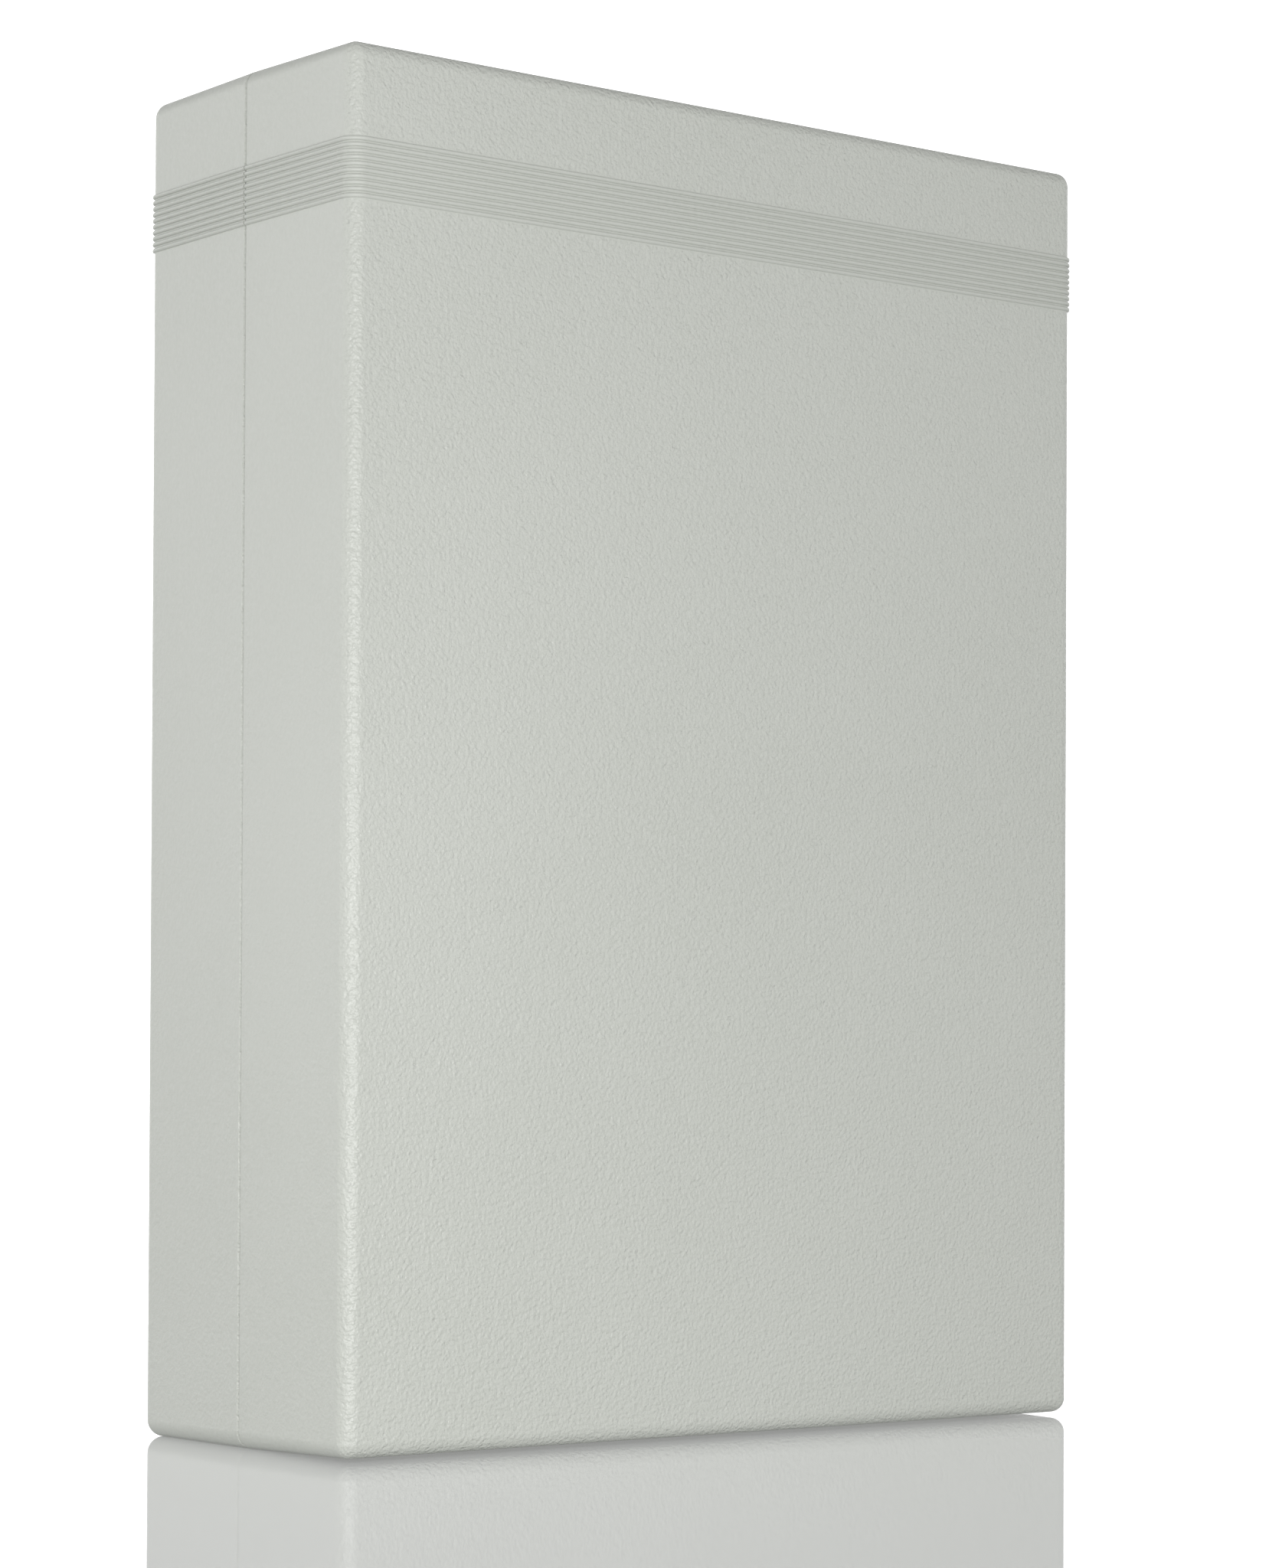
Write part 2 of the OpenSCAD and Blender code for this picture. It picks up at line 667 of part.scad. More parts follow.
module test_switch() color(black_plastic) difference() {
    block([button_x - 6, 25.6, button_z - 6], [button_x + 6, board_front, button_z + 6]);
    rod_y(button_x, button_z, 3.8, 24, 28.6, 32);
}

module test_button() color("#c43b33") {
    rod_y(button_x, button_z, 3.4, 20, 27.4, 32);
    rod_y(button_x, button_z, 4.4, 20, 22, 32);
}

module isolator_body() color(black_plastic) difference() {
    union() {
        block([rocker_x - 7, 13.5, rocker_z - 10], [rocker_x + 7, board_front, rocker_z + 10]);
        block([rocker_x - 8.5, 11.5, rocker_z - 11.5], [rocker_x + 8.5, 13.5, rocker_z + 11.5]);
    }
    block([rocker_x - 5.6, 10, rocker_z - 9], [rocker_x + 5.6, 22, rocker_z + 9]);
    rocker_pin(rocker_pin_r + 0.1, 6.5);
}

// Cylinder along X at the rocker's pivot
module rocker_pin(r, half_length)
    translate([rocker_x - half_length, rocker_pivot_y, rocker_z]) rotate([0, 90, 0])
        cylinder(r = r, h = 2 * half_length, $fn = 32);

// Rocker with a shallow V top and a pivot pin, turned to its "on" side
module isolator_rocker() color("#8e2f2b") {
    translate([rocker_x, rocker_pivot_y, rocker_z]) rotate([rocker_tilt, 0, 0])
        rotate([0, 90, 0]) translate([0, 0, -5.3]) linear_extrude(10.6)
            polygon([[-8.2, -3.2], [0, -1.6], [8.2, -3.2], [7.6, 1.2], [2.5, 4.5], [-2.5, 4.5], [-7.6, 1.2]]);
    rocker_pin(rocker_pin_r, 6.4);
}

board_tab_z = 238;

module board_tabs() color(steel_colour)
    for (x = [-66, 66])
        block([x - 0.4, 20.5, board_tab_z - 3.15], [x + 0.4, board_front, board_tab_z + 3.15]);

// Insulated push-on receptacles; each is hollow where its tab goes in
module tab_sleeves() color("#b23a34") {
    for (s = [[-tab_x, lower_z, -1], [tab_x, lower_z, 1], [-tab_x, upper_z, 1], [tab_x, upper_z, 1]])
        let (z = s[1] + battery_h) difference() {
            block([s[0] - 4.4 + min(s[2], 0) * 9.6, tab_y - 3.2, z + 0.8],
                [s[0] + 4.4 + max(s[2], 0) * 9.6, tab_y + 3.2, z + 8]);
            block([s[0] - 3.5, tab_y - 0.7, z], [s[0] + 3.5, tab_y + 0.7, z + 7]);
        }
    for (x = [-66, 66]) difference() {
        block([x - 3.2, 18.8, board_tab_z - 10], [x + 3.2, 26.4, board_tab_z + 4.6]);
        block([x - 0.7, 19.8, board_tab_z - 3.5], [x + 0.7, 27, board_tab_z + 3.5]);
    }
}

// ---------------------------------------------------------------- leads

// Point at fraction t of the smooth curve between p[i] and p[i + 1]
function curve_point(p, i, t) =
    let (a = p[max(i - 1, 0)], b = p[i], c = p[i + 1], d = p[min(i + 2, len(p) - 1)])
    0.5 * (2 * b + (c - a) * t + (2 * a - 5 * b + 4 * c - d) * t * t + (3 * b - 3 * c + d - a) * t * t * t);

function smooth(p, steps) = concat(
    [for (i = [0:len(p) - 2]) for (k = [0:steps - 1]) curve_point(p, i, k / steps)],
    [p[len(p) - 1]]);

// Round tube along a route whose direction is never along Y
module lead(route) {
    path = smooth(route, 3);
    last = len(path) - 1;
    loft([for (i = [0:last])
        let (along = path[min(i + 1, last)] - path[max(i - 1, 0)],
             t = along / norm(along),
             side_raw = cross(t, [0, 1, 0]),
             side = side_raw / norm(side_raw),
             up = cross(side, t))
        [for (k = [0:lead_sides - 1])
            let (a = 360 * k / lead_sides)
            path[i] + lead_r * (cos(a) * side + sin(a) * up)]]);
}

module link_lead() color("#d8c23a") lead(link_route);
module negative_lead() color("#222426") lead(negative_route);
module positive_lead() color("#b5322c") lead(positive_route);

// Saddles on the back wall that hold the long leads
module lead_clips() color("#d9dad4")
    for (c = lead_clip_xz) difference() {
        block([c[0] - 5, 32.6, c[1] - 4], [c[0] + 5, back_inner, c[1] + 4]);
        translate([c[0], 36, c[1] - 5]) cylinder(r = lead_r + 0.2, h = 10, $fn = 32);
        block([c[0] - 0.9, 31, c[1] - 5], [c[0] + 0.9, 36, c[1] + 5]);
    }

rear_case();
front_cover();
seam_gasket();
cover_screws();
cover_inserts();
cable_grommets();
battery_lower_case();
battery_lower_lid();
battery_lower_tabs();
battery_upper_case();
battery_upper_lid();
battery_upper_tabs();
battery_pads();
battery_shelf();
lower_strap();
upper_strap();
bracket_screws();
charger_board();
board_screws();
heatsink();
power_transistors();
transistor_screws();
filter_capacitors();
transformer_core();
transformer_winding();
inductor_core();
inductor_winding();
relay();
input_terminals();
output_terminals();
terminal_screws();
fuse_clips();
fuse_tube();
fuse_caps();
control_chip();
small_parts();
led_green();
led_red();
test_switch();
test_button();
isolator_body();
isolator_rocker();
board_tabs();
tab_sleeves();
link_lead();
negative_lead();
positive_lead();
lead_clips();
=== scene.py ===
"""Looks of the wall battery unit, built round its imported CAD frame. Metres, +Z up, the cover faces -Y."""

import json
import math

import bmesh
import bpy
from mathutils import Matrix, Vector


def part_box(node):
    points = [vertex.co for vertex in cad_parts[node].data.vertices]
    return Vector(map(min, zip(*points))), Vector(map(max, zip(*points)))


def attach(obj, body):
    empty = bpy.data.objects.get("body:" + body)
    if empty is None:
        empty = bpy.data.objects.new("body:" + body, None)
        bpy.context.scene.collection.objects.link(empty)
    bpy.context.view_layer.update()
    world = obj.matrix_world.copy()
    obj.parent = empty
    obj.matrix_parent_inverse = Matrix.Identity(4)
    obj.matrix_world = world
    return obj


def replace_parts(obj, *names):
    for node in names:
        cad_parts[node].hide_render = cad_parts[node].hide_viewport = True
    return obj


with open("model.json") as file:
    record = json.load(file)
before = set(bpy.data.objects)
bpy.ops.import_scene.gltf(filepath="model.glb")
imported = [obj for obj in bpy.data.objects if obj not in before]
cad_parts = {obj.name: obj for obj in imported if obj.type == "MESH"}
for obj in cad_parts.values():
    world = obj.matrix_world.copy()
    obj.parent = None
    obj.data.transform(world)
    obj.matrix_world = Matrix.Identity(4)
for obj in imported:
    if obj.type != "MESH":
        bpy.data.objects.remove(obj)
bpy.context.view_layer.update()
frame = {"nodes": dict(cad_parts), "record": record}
nodes = frame["nodes"]

MM = 0.001

# ---------------------------------------------------------------- dimensions of the case, in metres

CASE_W = 0.232
CASE_H = 0.330
REAR_D = 0.0446
COVER_D = 0.044
WALL = 3 * MM
CORNER_R = 4.5 * MM
CORNER_LEAST = 0.8 * MM
FRONT_R = 4 * MM
BACK_R = 3.5 * MM
COVER_DRAFT = math.radians(1.1)
REAR_DRAFT = math.radians(0.45)
INNER_CHAMFER = 1.2 * MM

SEAM_GAP = 0.25 * MM
COVER_RIM_CHAMFER = 0.2 * MM
REAR_RIM_CHAMFER = 0.65 * MM
TONGUE_CLEARANCE = 0.3 * MM
TONGUE_T = 1.5 * MM
TONGUE_REACH = 2.2 * MM
TONGUE_TIP = 0.2 * MM
TONGUE_ROOT = 5.2 * MM
GROOVE_DEPTH = 1.3 * MM
GROOVE_OUTER = 1.0 * MM
GROOVE_INNER = 2.2 * MM

RIB_COUNT = 10
RIB_PITCH = 1.475 * MM
RIB_PROUD = 0.6 * MM
RIB_HALF = 0.56 * MM
RIB_LIFT = 0.03 * MM
RIB_ROOT = 0.6 * MM
RIB_LOW_Z = 0.2928
RIB_START = 0.1 * MM

CORNER_STEPS = 12
FILLET_STEPS = 12
RIB_STEPS = 8

# ---------------------------------------------------------------- mesh helpers


def ring(y, half_w, low, high, r):
    """Rounded rectangle in a plane of constant y, anticlockwise seen from the front."""
    points = []
    for sx, sz, start in ((1, 1, 0), (-1, 1, 90), (-1, -1, 180), (1, -1, 270)):
        for i in range(CORNER_STEPS + 1):
            a = math.radians(start + 90 * i / CORNER_STEPS)
            z = high - r if sz > 0 else low + r
            points.append(Vector((sx * (half_w - r) + r * math.cos(a), y, z + r * math.sin(a))))
    return points


def inset_ring(y, inset, low_inset=None):
    """Ring of the case's outline, moved in by inset at its sides and top and by low_inset at its base."""
    low = inset if low_inset is None else low_inset
    return ring(y, CASE_W / 2 - inset, low, CASE_H - inset, max(CORNER_R - inset, CORNER_LEAST))


def loft(bm, rings):
    """Closed skin through rings of equal point counts."""
    rows = [[bm.verts.new(p) for p in r] for r in rings]
    n = len(rows[0])
    for a, b in zip(rows, rows[1:]):
        for i in range(n):
            bm.faces.new((a[i], a[(i + 1) % n], b[(i + 1) % n], b[i]))
    bm.faces.new(rows[0][::-1])
    bm.faces.new(rows[-1])


def prism(bm, outline, axis, low, high):
    """Outline of 2-D points pushed along axis 0, 1 or 2 from low to high."""
    spare = [i for i in range(3) if i != axis]
    rows = []
    for level in (low, high):
        row = []
        for p in outline:
            co = [0.0, 0.0, 0.0]
            co[spare[0]], co[spare[1]], co[axis] = p[0], p[1], level
            row.append(bm.verts.new(co))
        rows.append(row)
    n = len(outline)
    for i in range(n):
        bm.faces.new((rows[0][i], rows[0][(i + 1) % n], rows[1][(i + 1) % n], rows[1][i]))
    bm.faces.new(rows[0][::-1])
    bm.faces.new(rows[1])


def circle(cx, cy, r, n):
    turns = [2 * math.pi * i / n for i in range(n)]
    return [(cx + r * math.cos(a), cy + r * math.sin(a)) for a in turns]


def rectangle(x0, y0, x1, y1):
    return [(x0, y0), (x1, y0), (x1, y1), (x0, y1)]


def block(bm, low, high):
    prism(bm, rectangle(low[0], low[1], high[0], high[1]), 2, low[2], high[2])


def mesh_object(name, build):
    """Object whose mesh is filled by build(bm)."""
    bm = bmesh.new()
    build(bm)
    bmesh.ops.recalc_face_normals(bm, faces=bm.faces)
    mesh = bpy.data.meshes.new(name)
    bm.to_mesh(mesh)
    bm.free()
    obj = bpy.data.objects.new(name, mesh)
    bpy.context.scene.collection.objects.link(obj)
    return obj


def shade(obj, angle=30):
    """Smooth faces, with edges sharper than angle kept sharp and normals led by the larger faces."""
    mesh = obj.data
    mesh.polygons.foreach_set("use_smooth", [True] * len(mesh.polygons))
    mesh.set_sharp_from_angle(angle=math.radians(angle))
    weighted = obj.modifiers.new("weighted", "WEIGHTED_NORMAL")
    weighted.keep_sharp = True
    weighted.weight = 50


def carve(obj, operation, tool):
    """Applies one exact boolean and removes the tool."""
    modifier = obj.modifiers.new(operation, "BOOLEAN")
    modifier.operation = operation
    modifier.solver = "EXACT"
    modifier.object = tool
    depsgraph = bpy.context.evaluated_depsgraph_get()
    mesh = bpy.data.meshes.new_from_object(obj.evaluated_get(depsgraph))
    obj.modifiers.clear()
    obj.data = mesh
    bpy.data.objects.remove(tool)


# ---------------------------------------------------------------- shells


def fillet_inset(depth, r, draft, a):
    return (r + (depth - r) * math.sin(draft)) / math.cos(draft) - r * math.cos(a)


def fillet_depth(depth, r, a):
    return depth - r + r * math.sin(a)


def fillet_angles(draft):
    return [draft + (math.pi / 2 - draft) * i / FILLET_STEPS for i in range(FILLET_STEPS + 1)]


def drafted(side, depth, draft, inset):
    """Ring on the plain part of a wall, inset from its outer face."""
    return inset_ring(side * depth, inset + abs(depth) * math.tan(draft))


def cover_shell(bm):
    """Cover's skin, from its inner face round the tongue and the rim to the front."""
    deep = COVER_D - WALL
    rim = SEAM_GAP / 2
    tongue_out = WALL + TONGUE_CLEARANCE
    tongue_in = tongue_out + TONGUE_T
    rings = [
        drafted(-1, deep, COVER_DRAFT, WALL + INNER_CHAMFER),
        drafted(-1, deep - INNER_CHAMFER, COVER_DRAFT, WALL),
        drafted(-1, 6 * MM, COVER_DRAFT, WALL),
        inset_ring(-TONGUE_ROOT, tongue_in),
        inset_ring(2.0 * MM, tongue_in),
        inset_ring(TONGUE_REACH, tongue_in - TONGUE_TIP),
        inset_ring(TONGUE_REACH, tongue_out + TONGUE_TIP),
        inset_ring(2.0 * MM, tongue_out),
        inset_ring(-rim, tongue_out),
        inset_ring(-rim, COVER_RIM_CHAMFER),
        inset_ring(-rim - COVER_RIM_CHAMFER, 0.0),
    ]
    for a in fillet_angles(COVER_DRAFT):
        inset = fillet_inset(COVER_D, FRONT_R, COVER_DRAFT, a)
        rings.append(inset_ring(-fillet_depth(COVER_D, FRONT_R, a), inset))
    loft(bm, rings)


def rear_shell(bm):
    """Rear case's skin, from its inner face over the gasket groove and the rim to the back."""
    deep = REAR_D - WALL
    rim = SEAM_GAP / 2
    groove = rim + GROOVE_DEPTH
    rings = [
        drafted(1, deep, REAR_DRAFT, WALL + INNER_CHAMFER),
        drafted(1, deep - INNER_CHAMFER, REAR_DRAFT, WALL),
        inset_ring(rim, WALL),
        inset_ring(rim, GROOVE_INNER),
        inset_ring(groove, GROOVE_INNER),
        inset_ring(groove, GROOVE_OUTER),
        inset_ring(rim, GROOVE_OUTER),
        inset_ring(rim, REAR_RIM_CHAMFER),
        inset_ring(rim + REAR_RIM_CHAMFER, 0.0),
    ]
    for a in fillet_angles(REAR_DRAFT):
        floor_inset = BACK_R * (1 - math.cos(a))
        side_inset = fillet_inset(REAR_D, BACK_R, REAR_DRAFT, a)
        rings.append(inset_ring(fillet_depth(REAR_D, BACK_R, a), side_inset, floor_inset))
    loft(bm, rings)


def rib_section():
    """Section of the rib band: (distance out of the wall, height)."""
    high_z = RIB_LOW_Z + (RIB_COUNT - 1) * RIB_PITCH
    section = [(-RIB_ROOT, RIB_LOW_Z - RIB_HALF)]
    for k in range(RIB_COUNT):
        for i in range(RIB_STEPS + 1):
            a = math.pi * i / RIB_STEPS
            out = RIB_LIFT + (RIB_PROUD - RIB_LIFT) * math.sin(a)
            section.append((out, RIB_LOW_Z + k * RIB_PITCH - RIB_HALF * math.cos(a)))
    section.append((-RIB_ROOT, high_z + RIB_HALF))
    return section


def rib_ring(x, y, dx, dy):
    return [Vector((x + out * dx, y + out * dy, z)) for out, z in rib_section()]


def flipped(row):
    return [Vector((-p.x, p.y, p.z)) for p in row]


def cover_ribs(bm):
    rim = SEAM_GAP / 2 + RIB_START
    rows = [rib_ring(-CASE_W / 2, -rim, -math.cos(COVER_DRAFT), -math.sin(COVER_DRAFT))]
    for a in fillet_angles(COVER_DRAFT):
        x = -CASE_W / 2 + fillet_inset(COVER_D, FRONT_R, COVER_DRAFT, a)
        rows.append(rib_ring(x, -fillet_depth(COVER_D, FRONT_R, a), -math.cos(a), -math.sin(a)))
    loft(bm, rows + [flipped(r) for r in reversed(rows)])


def rear_ribs(bm):
    rim = SEAM_GAP / 2 + RIB_START
    rows = [rib_ring(-CASE_W / 2, rim, -math.cos(REAR_DRAFT), math.sin(REAR_DRAFT))]
    for a in fillet_angles(REAR_DRAFT)[:6]:
        x = -CASE_W / 2 + fillet_inset(REAR_D, BACK_R, REAR_DRAFT, a)
        rows.append(rib_ring(x, fillet_depth(REAR_D, BACK_R, a), -math.cos(a), math.sin(a)))
    loft(bm, rows)
    loft(bm, [flipped(r) for r in rows])


COVER_SCREW_XS = (-0.095, 0.095)
COVER_SCREW_Y = -0.008
HOOK_XS = (-0.060, 0.060)
GROMMET_XS = (-0.098, 0.098)
GROMMET_Y = 0.027
BRACKET_XS = (-0.086, 0.086)
BRACKET_ZS = (0.055, 0.106, 0.163)
BOARD_XS = (-0.080, 0.0, 0.080)
BOARD_ZS = (0.232, 0.312)
FIXING_XS = (-0.098, 0.098)
FIXING_ZS = (0.030, 0.300)
BACK_INNER = REAR_D - WALL

BRACKET_BOSS_R = 0.005
BRACKET_PILOT_R = 0.0017
BOARD_STANDOFF_R = 0.004
BOARD_PILOT_R = 0.0013
FIXING_R = 0.00275
SCREW_LUG_BORE_R = 0.003
SCREW_HEAD_R = 0.004
SCREW_SHANK_R = 0.0023
ENTRY_RING_R = 0.013
ENTRY_FLANGE_R = 0.0112
ENTRY_R = 0.0075

COVER_RIB_XS = (-0.076, -0.038, 0.0, 0.038, 0.076)
COVER_RIB_ZS = (0.070, 0.140, 0.210, 0.280)
COVER_RIB_HALF = 0.0008
FLOOR_RIB_XS = (-0.060, -0.020, 0.020, 0.060)
FLOOR_RIB_HALF = 0.001
VENT_COUNT = 6
VENT_PITCH = 0.008
VENT_R = 0.0012
VENT_Y_LOW = 0.0152
VENT_Y_HIGH = 0.0328


def cover_adders(bm):
    """Hooks, pads over the lower screws and stiffening ribs."""
    for x in HOOK_XS:
        side = [(-0.0055, CASE_H - 0.0052), (0.008, CASE_H - 0.0052), (0.008, CASE_H - 0.0023),
                (0.0077, CASE_H - 0.002), (0.0061, CASE_H - 0.002), (0.0058, CASE_H - 0.0023),
                (0.0058, CASE_H - 0.0033), (-0.0055, CASE_H - 0.0033)]
        prism(bm, side, 0, x - 0.006, x + 0.006)
    for x in COVER_SCREW_XS:
        block(bm, (x - 0.009, -0.017, 0.0024), (x + 0.009, -0.3 * MM, 0.006))
    front = -(COVER_D - WALL)
    for x in COVER_RIB_XS:
        block(bm, (x - COVER_RIB_HALF, front - 0.0005, 0.012),
              (x + COVER_RIB_HALF, front + 0.0022, CASE_H - 0.012))


def cover_cross_ribs(bm):
    front = -(COVER_D - WALL)
    for z in COVER_RIB_ZS:
        block(bm, (-CASE_W / 2 + 0.010, front - 0.0005, z - COVER_RIB_HALF),
              (CASE_W / 2 - 0.010, front + 0.00215, z + COVER_RIB_HALF))


def notch(x, r):
    """Slot outline in the XY plane: round at the screw and open past the tongue."""
    turns = [math.pi + math.pi * i / 16 for i in range(17)]
    arc = [(x + r * math.cos(a), COVER_SCREW_Y + r * math.sin(a)) for a in turns]
    return arc + [(x + r, 0.0032), (x - r, 0.0032)]


def cover_cutters(bm):
    for x in COVER_SCREW_XS:
        prism(bm, notch(x, SCREW_HEAD_R), 2, -0.001, 0.003)


def cover_slot_cutters(bm):
    for x in COVER_SCREW_XS:
        prism(bm, notch(x, SCREW_SHANK_R), 2, 0.0005, 0.007)


def rear_adders(bm):
    """Bosses, standoffs, screw lugs, floor ribs and the thick rings round the cable entries."""
    for x in BRACKET_XS:
        for z in BRACKET_ZS:
            prism(bm, circle(x, z, BRACKET_BOSS_R, 48), 1, 0.008, BACK_INNER + 0.001)
    for x in BOARD_XS:
        for z in BOARD_ZS:
            prism(bm, circle(x, z, BOARD_STANDOFF_R, 40), 1, 0.0316, BACK_INNER + 0.001)
    for x in COVER_SCREW_XS:
        lug = [(-0.014, 0.0068), (0.004, 0.0068), (0.004, 0.0025), (0.012, 0.0025),
               (0.012, 0.015), (-0.0135, 0.015), (-0.014, 0.0145)]
        prism(bm, lug, 0, x - 0.007, x + 0.007)
    for x in FLOOR_RIB_XS:
        block(bm, (x - FLOOR_RIB_HALF, 0.005, 0.0025), (x + FLOOR_RIB_HALF, BACK_INNER + 0.0005, 0.008))
    for x in GROMMET_XS:
        prism(bm, circle(x, GROMMET_Y, ENTRY_RING_R, 64), 2, 0.0025, 0.006)


def rear_cutters(bm):
    """Pilot bores, fixing holes, cable entries, hook pockets and vent slots."""
    for x in BRACKET_XS:
        for z in BRACKET_ZS:
            prism(bm, circle(x, z, BRACKET_PILOT_R, 24), 1, 0.007, 0.026)
    for x in BOARD_XS:
        for z in BOARD_ZS:
            prism(bm, circle(x, z, BOARD_PILOT_R, 24), 1, 0.0306, 0.0406)
    for x in FIXING_XS:
        for z in FIXING_ZS:
            prism(bm, circle(x, z, FIXING_R, 40), 1, 0.040, 0.046)
    for x in COVER_SCREW_XS:
        prism(bm, circle(x, COVER_SCREW_Y, SCREW_LUG_BORE_R, 40), 2, 0.0055, 0.0165)
    for x in GROMMET_XS:
        prism(bm, circle(x, GROMMET_Y, ENTRY_FLANGE_R, 64), 2, -0.001, 0.0018)
    for x in HOOK_XS:
        block(bm, (x - 0.007, 0.005, CASE_H - 0.005), (x + 0.007, 0.0095, CASE_H - 0.0015))
    for i in range(VENT_COUNT):
        x = (i - (VENT_COUNT - 1) / 2) * VENT_PITCH
        slot_outline = []
        for start, y in ((0, VENT_Y_HIGH), (math.pi, VENT_Y_LOW)):
            turns = [start + math.pi * k / 8 for k in range(9)]
            slot_outline += [(x + VENT_R * math.cos(a), y + VENT_R * math.sin(a)) for a in turns]
        prism(bm, slot_outline, 2, -0.001, 0.004)
        prism(bm, slot_outline, 2, CASE_H - 0.005, CASE_H + 0.001)


def rear_entry_cutters(bm):
    for x in GROMMET_XS:
        prism(bm, circle(x, GROMMET_Y, ENTRY_R, 64), 2, 0.0005, 0.007)


def make_shell(name, node, body, shell, steps):
    """Moulding carved by steps of (operation, tool), which rides on body in place of node."""
    obj = mesh_object(name, shell)
    for operation, build in steps:
        carve(obj, operation, mesh_object(name + "_tool", build))
    shade(obj)
    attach(obj, body)
    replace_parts(obj, node)
    return obj


cover = make_shell("front_cover_moulding", "front_cover", "cover", cover_shell, [
    ("UNION", cover_ribs), ("UNION", cover_adders), ("UNION", cover_cross_ribs),
    ("DIFFERENCE", cover_cutters), ("DIFFERENCE", cover_slot_cutters)])
rear = make_shell("rear_case_moulding", "rear_case", "case", rear_shell, [
    ("UNION", rear_ribs), ("UNION", rear_adders), ("DIFFERENCE", rear_cutters),
    ("DIFFERENCE", rear_entry_cutters)])

# ---------------------------------------------------------------- materials


class Surface:
    """A material's node tree, with short ways to add texture to its Principled shader."""

    def __init__(self, name, colour, roughness, metallic=0.0, **sockets):
        self.material = bpy.data.materials.new(name)
        self.material.use_nodes = True
        self.tree = self.material.node_tree
        self.shader = self.tree.nodes["Principled BSDF"]
        self.shader.inputs["Base Color"].default_value = (*colour, 1)
        self.shader.inputs["Roughness"].default_value = roughness
        self.shader.inputs["Metallic"].default_value = metallic
        for socket, value in sockets.items():
            self.shader.inputs[socket.replace("_", " ")].default_value = value
        coordinates = self.add("ShaderNodeTexCoord")
        self.position = coordinates.outputs["Object"]
        self.normal = None

    def add(self, kind, **settings):
        node = self.tree.nodes.new(kind)
        for key, value in settings.items():
            setattr(node, key, value)
        return node

    def link(self, a, b):
        self.tree.links.new(a, b)

    def scaled(self, x, y, z):
        mapping = self.add("ShaderNodeMapping")
        self.link(self.position, mapping.inputs["Vector"])
        mapping.inputs["Scale"].default_value = (x, y, z)
        return mapping.outputs["Vector"]

    def noise(self, scale, detail=2.0, roughness=0.5, vector=None):
        node = self.add("ShaderNodeTexNoise")
        self.link(vector or self.position, node.inputs["Vector"])
        node.inputs["Scale"].default_value = scale
        node.inputs["Detail"].default_value = detail
        node.inputs["Roughness"].default_value = roughness
        return node.outputs["Fac"]

    def cells(self, scale, feature="F1"):
        node = self.add("ShaderNodeTexVoronoi", feature=feature)
        self.link(self.position, node.inputs["Vector"])
        node.inputs["Scale"].default_value = scale
        return node.outputs["Distance"]

    def maths(self, operation, a, b=None):
        node = self.add("ShaderNodeMath", operation=operation)
        for socket, value in zip(node.inputs, (a, b)):
            if value is None:
                continue
            if isinstance(value, (int, float)):
                socket.default_value = value
            else:
                self.link(value, socket)
        return node.outputs[0]

    def remap(self, value, low, high, to_low, to_high):
        node = self.add("ShaderNodeMapRange")
        self.link(value, node.inputs["Value"])
        for name, number in (("From Min", low), ("From Max", high), ("To Min", to_low), ("To Max", to_high)):
            node.inputs[name].default_value = number
        return node.outputs["Result"]

    def axis(self, name):
        node = self.add("ShaderNodeSeparateXYZ")
        self.link(self.position, node.inputs[0])
        return node.outputs[name]

    def blend_colour(self, factor, first, second):
        node = self.add("ShaderNodeMix", data_type="RGBA")
        self.link(factor, node.inputs["Factor"])
        for socket, colour in ((node.inputs[6], first), (node.inputs[7], second)):
            if isinstance(colour, tuple):
                socket.default_value = (*colour, 1)
            else:
                self.link(colour, socket)
        return node.outputs[2]

    def colour(self, socket):
        self.link(socket, self.shader.inputs["Base Color"])

    def rough(self, socket):
        self.link(socket, self.shader.inputs["Roughness"])

    def bump(self, height, distance, strength=1.0):
        node = self.add("ShaderNodeBump")
        node.inputs["Distance"].default_value = distance
        if isinstance(strength, (int, float)):
            node.inputs["Strength"].default_value = strength
        else:
            self.link(strength, node.inputs["Strength"])
        self.link(height, node.inputs["Height"])
        if self.normal is not None:
            self.link(self.normal, node.inputs["Normal"])
        self.normal = node.outputs["Normal"]
        self.link(self.normal, self.shader.inputs["Normal"])


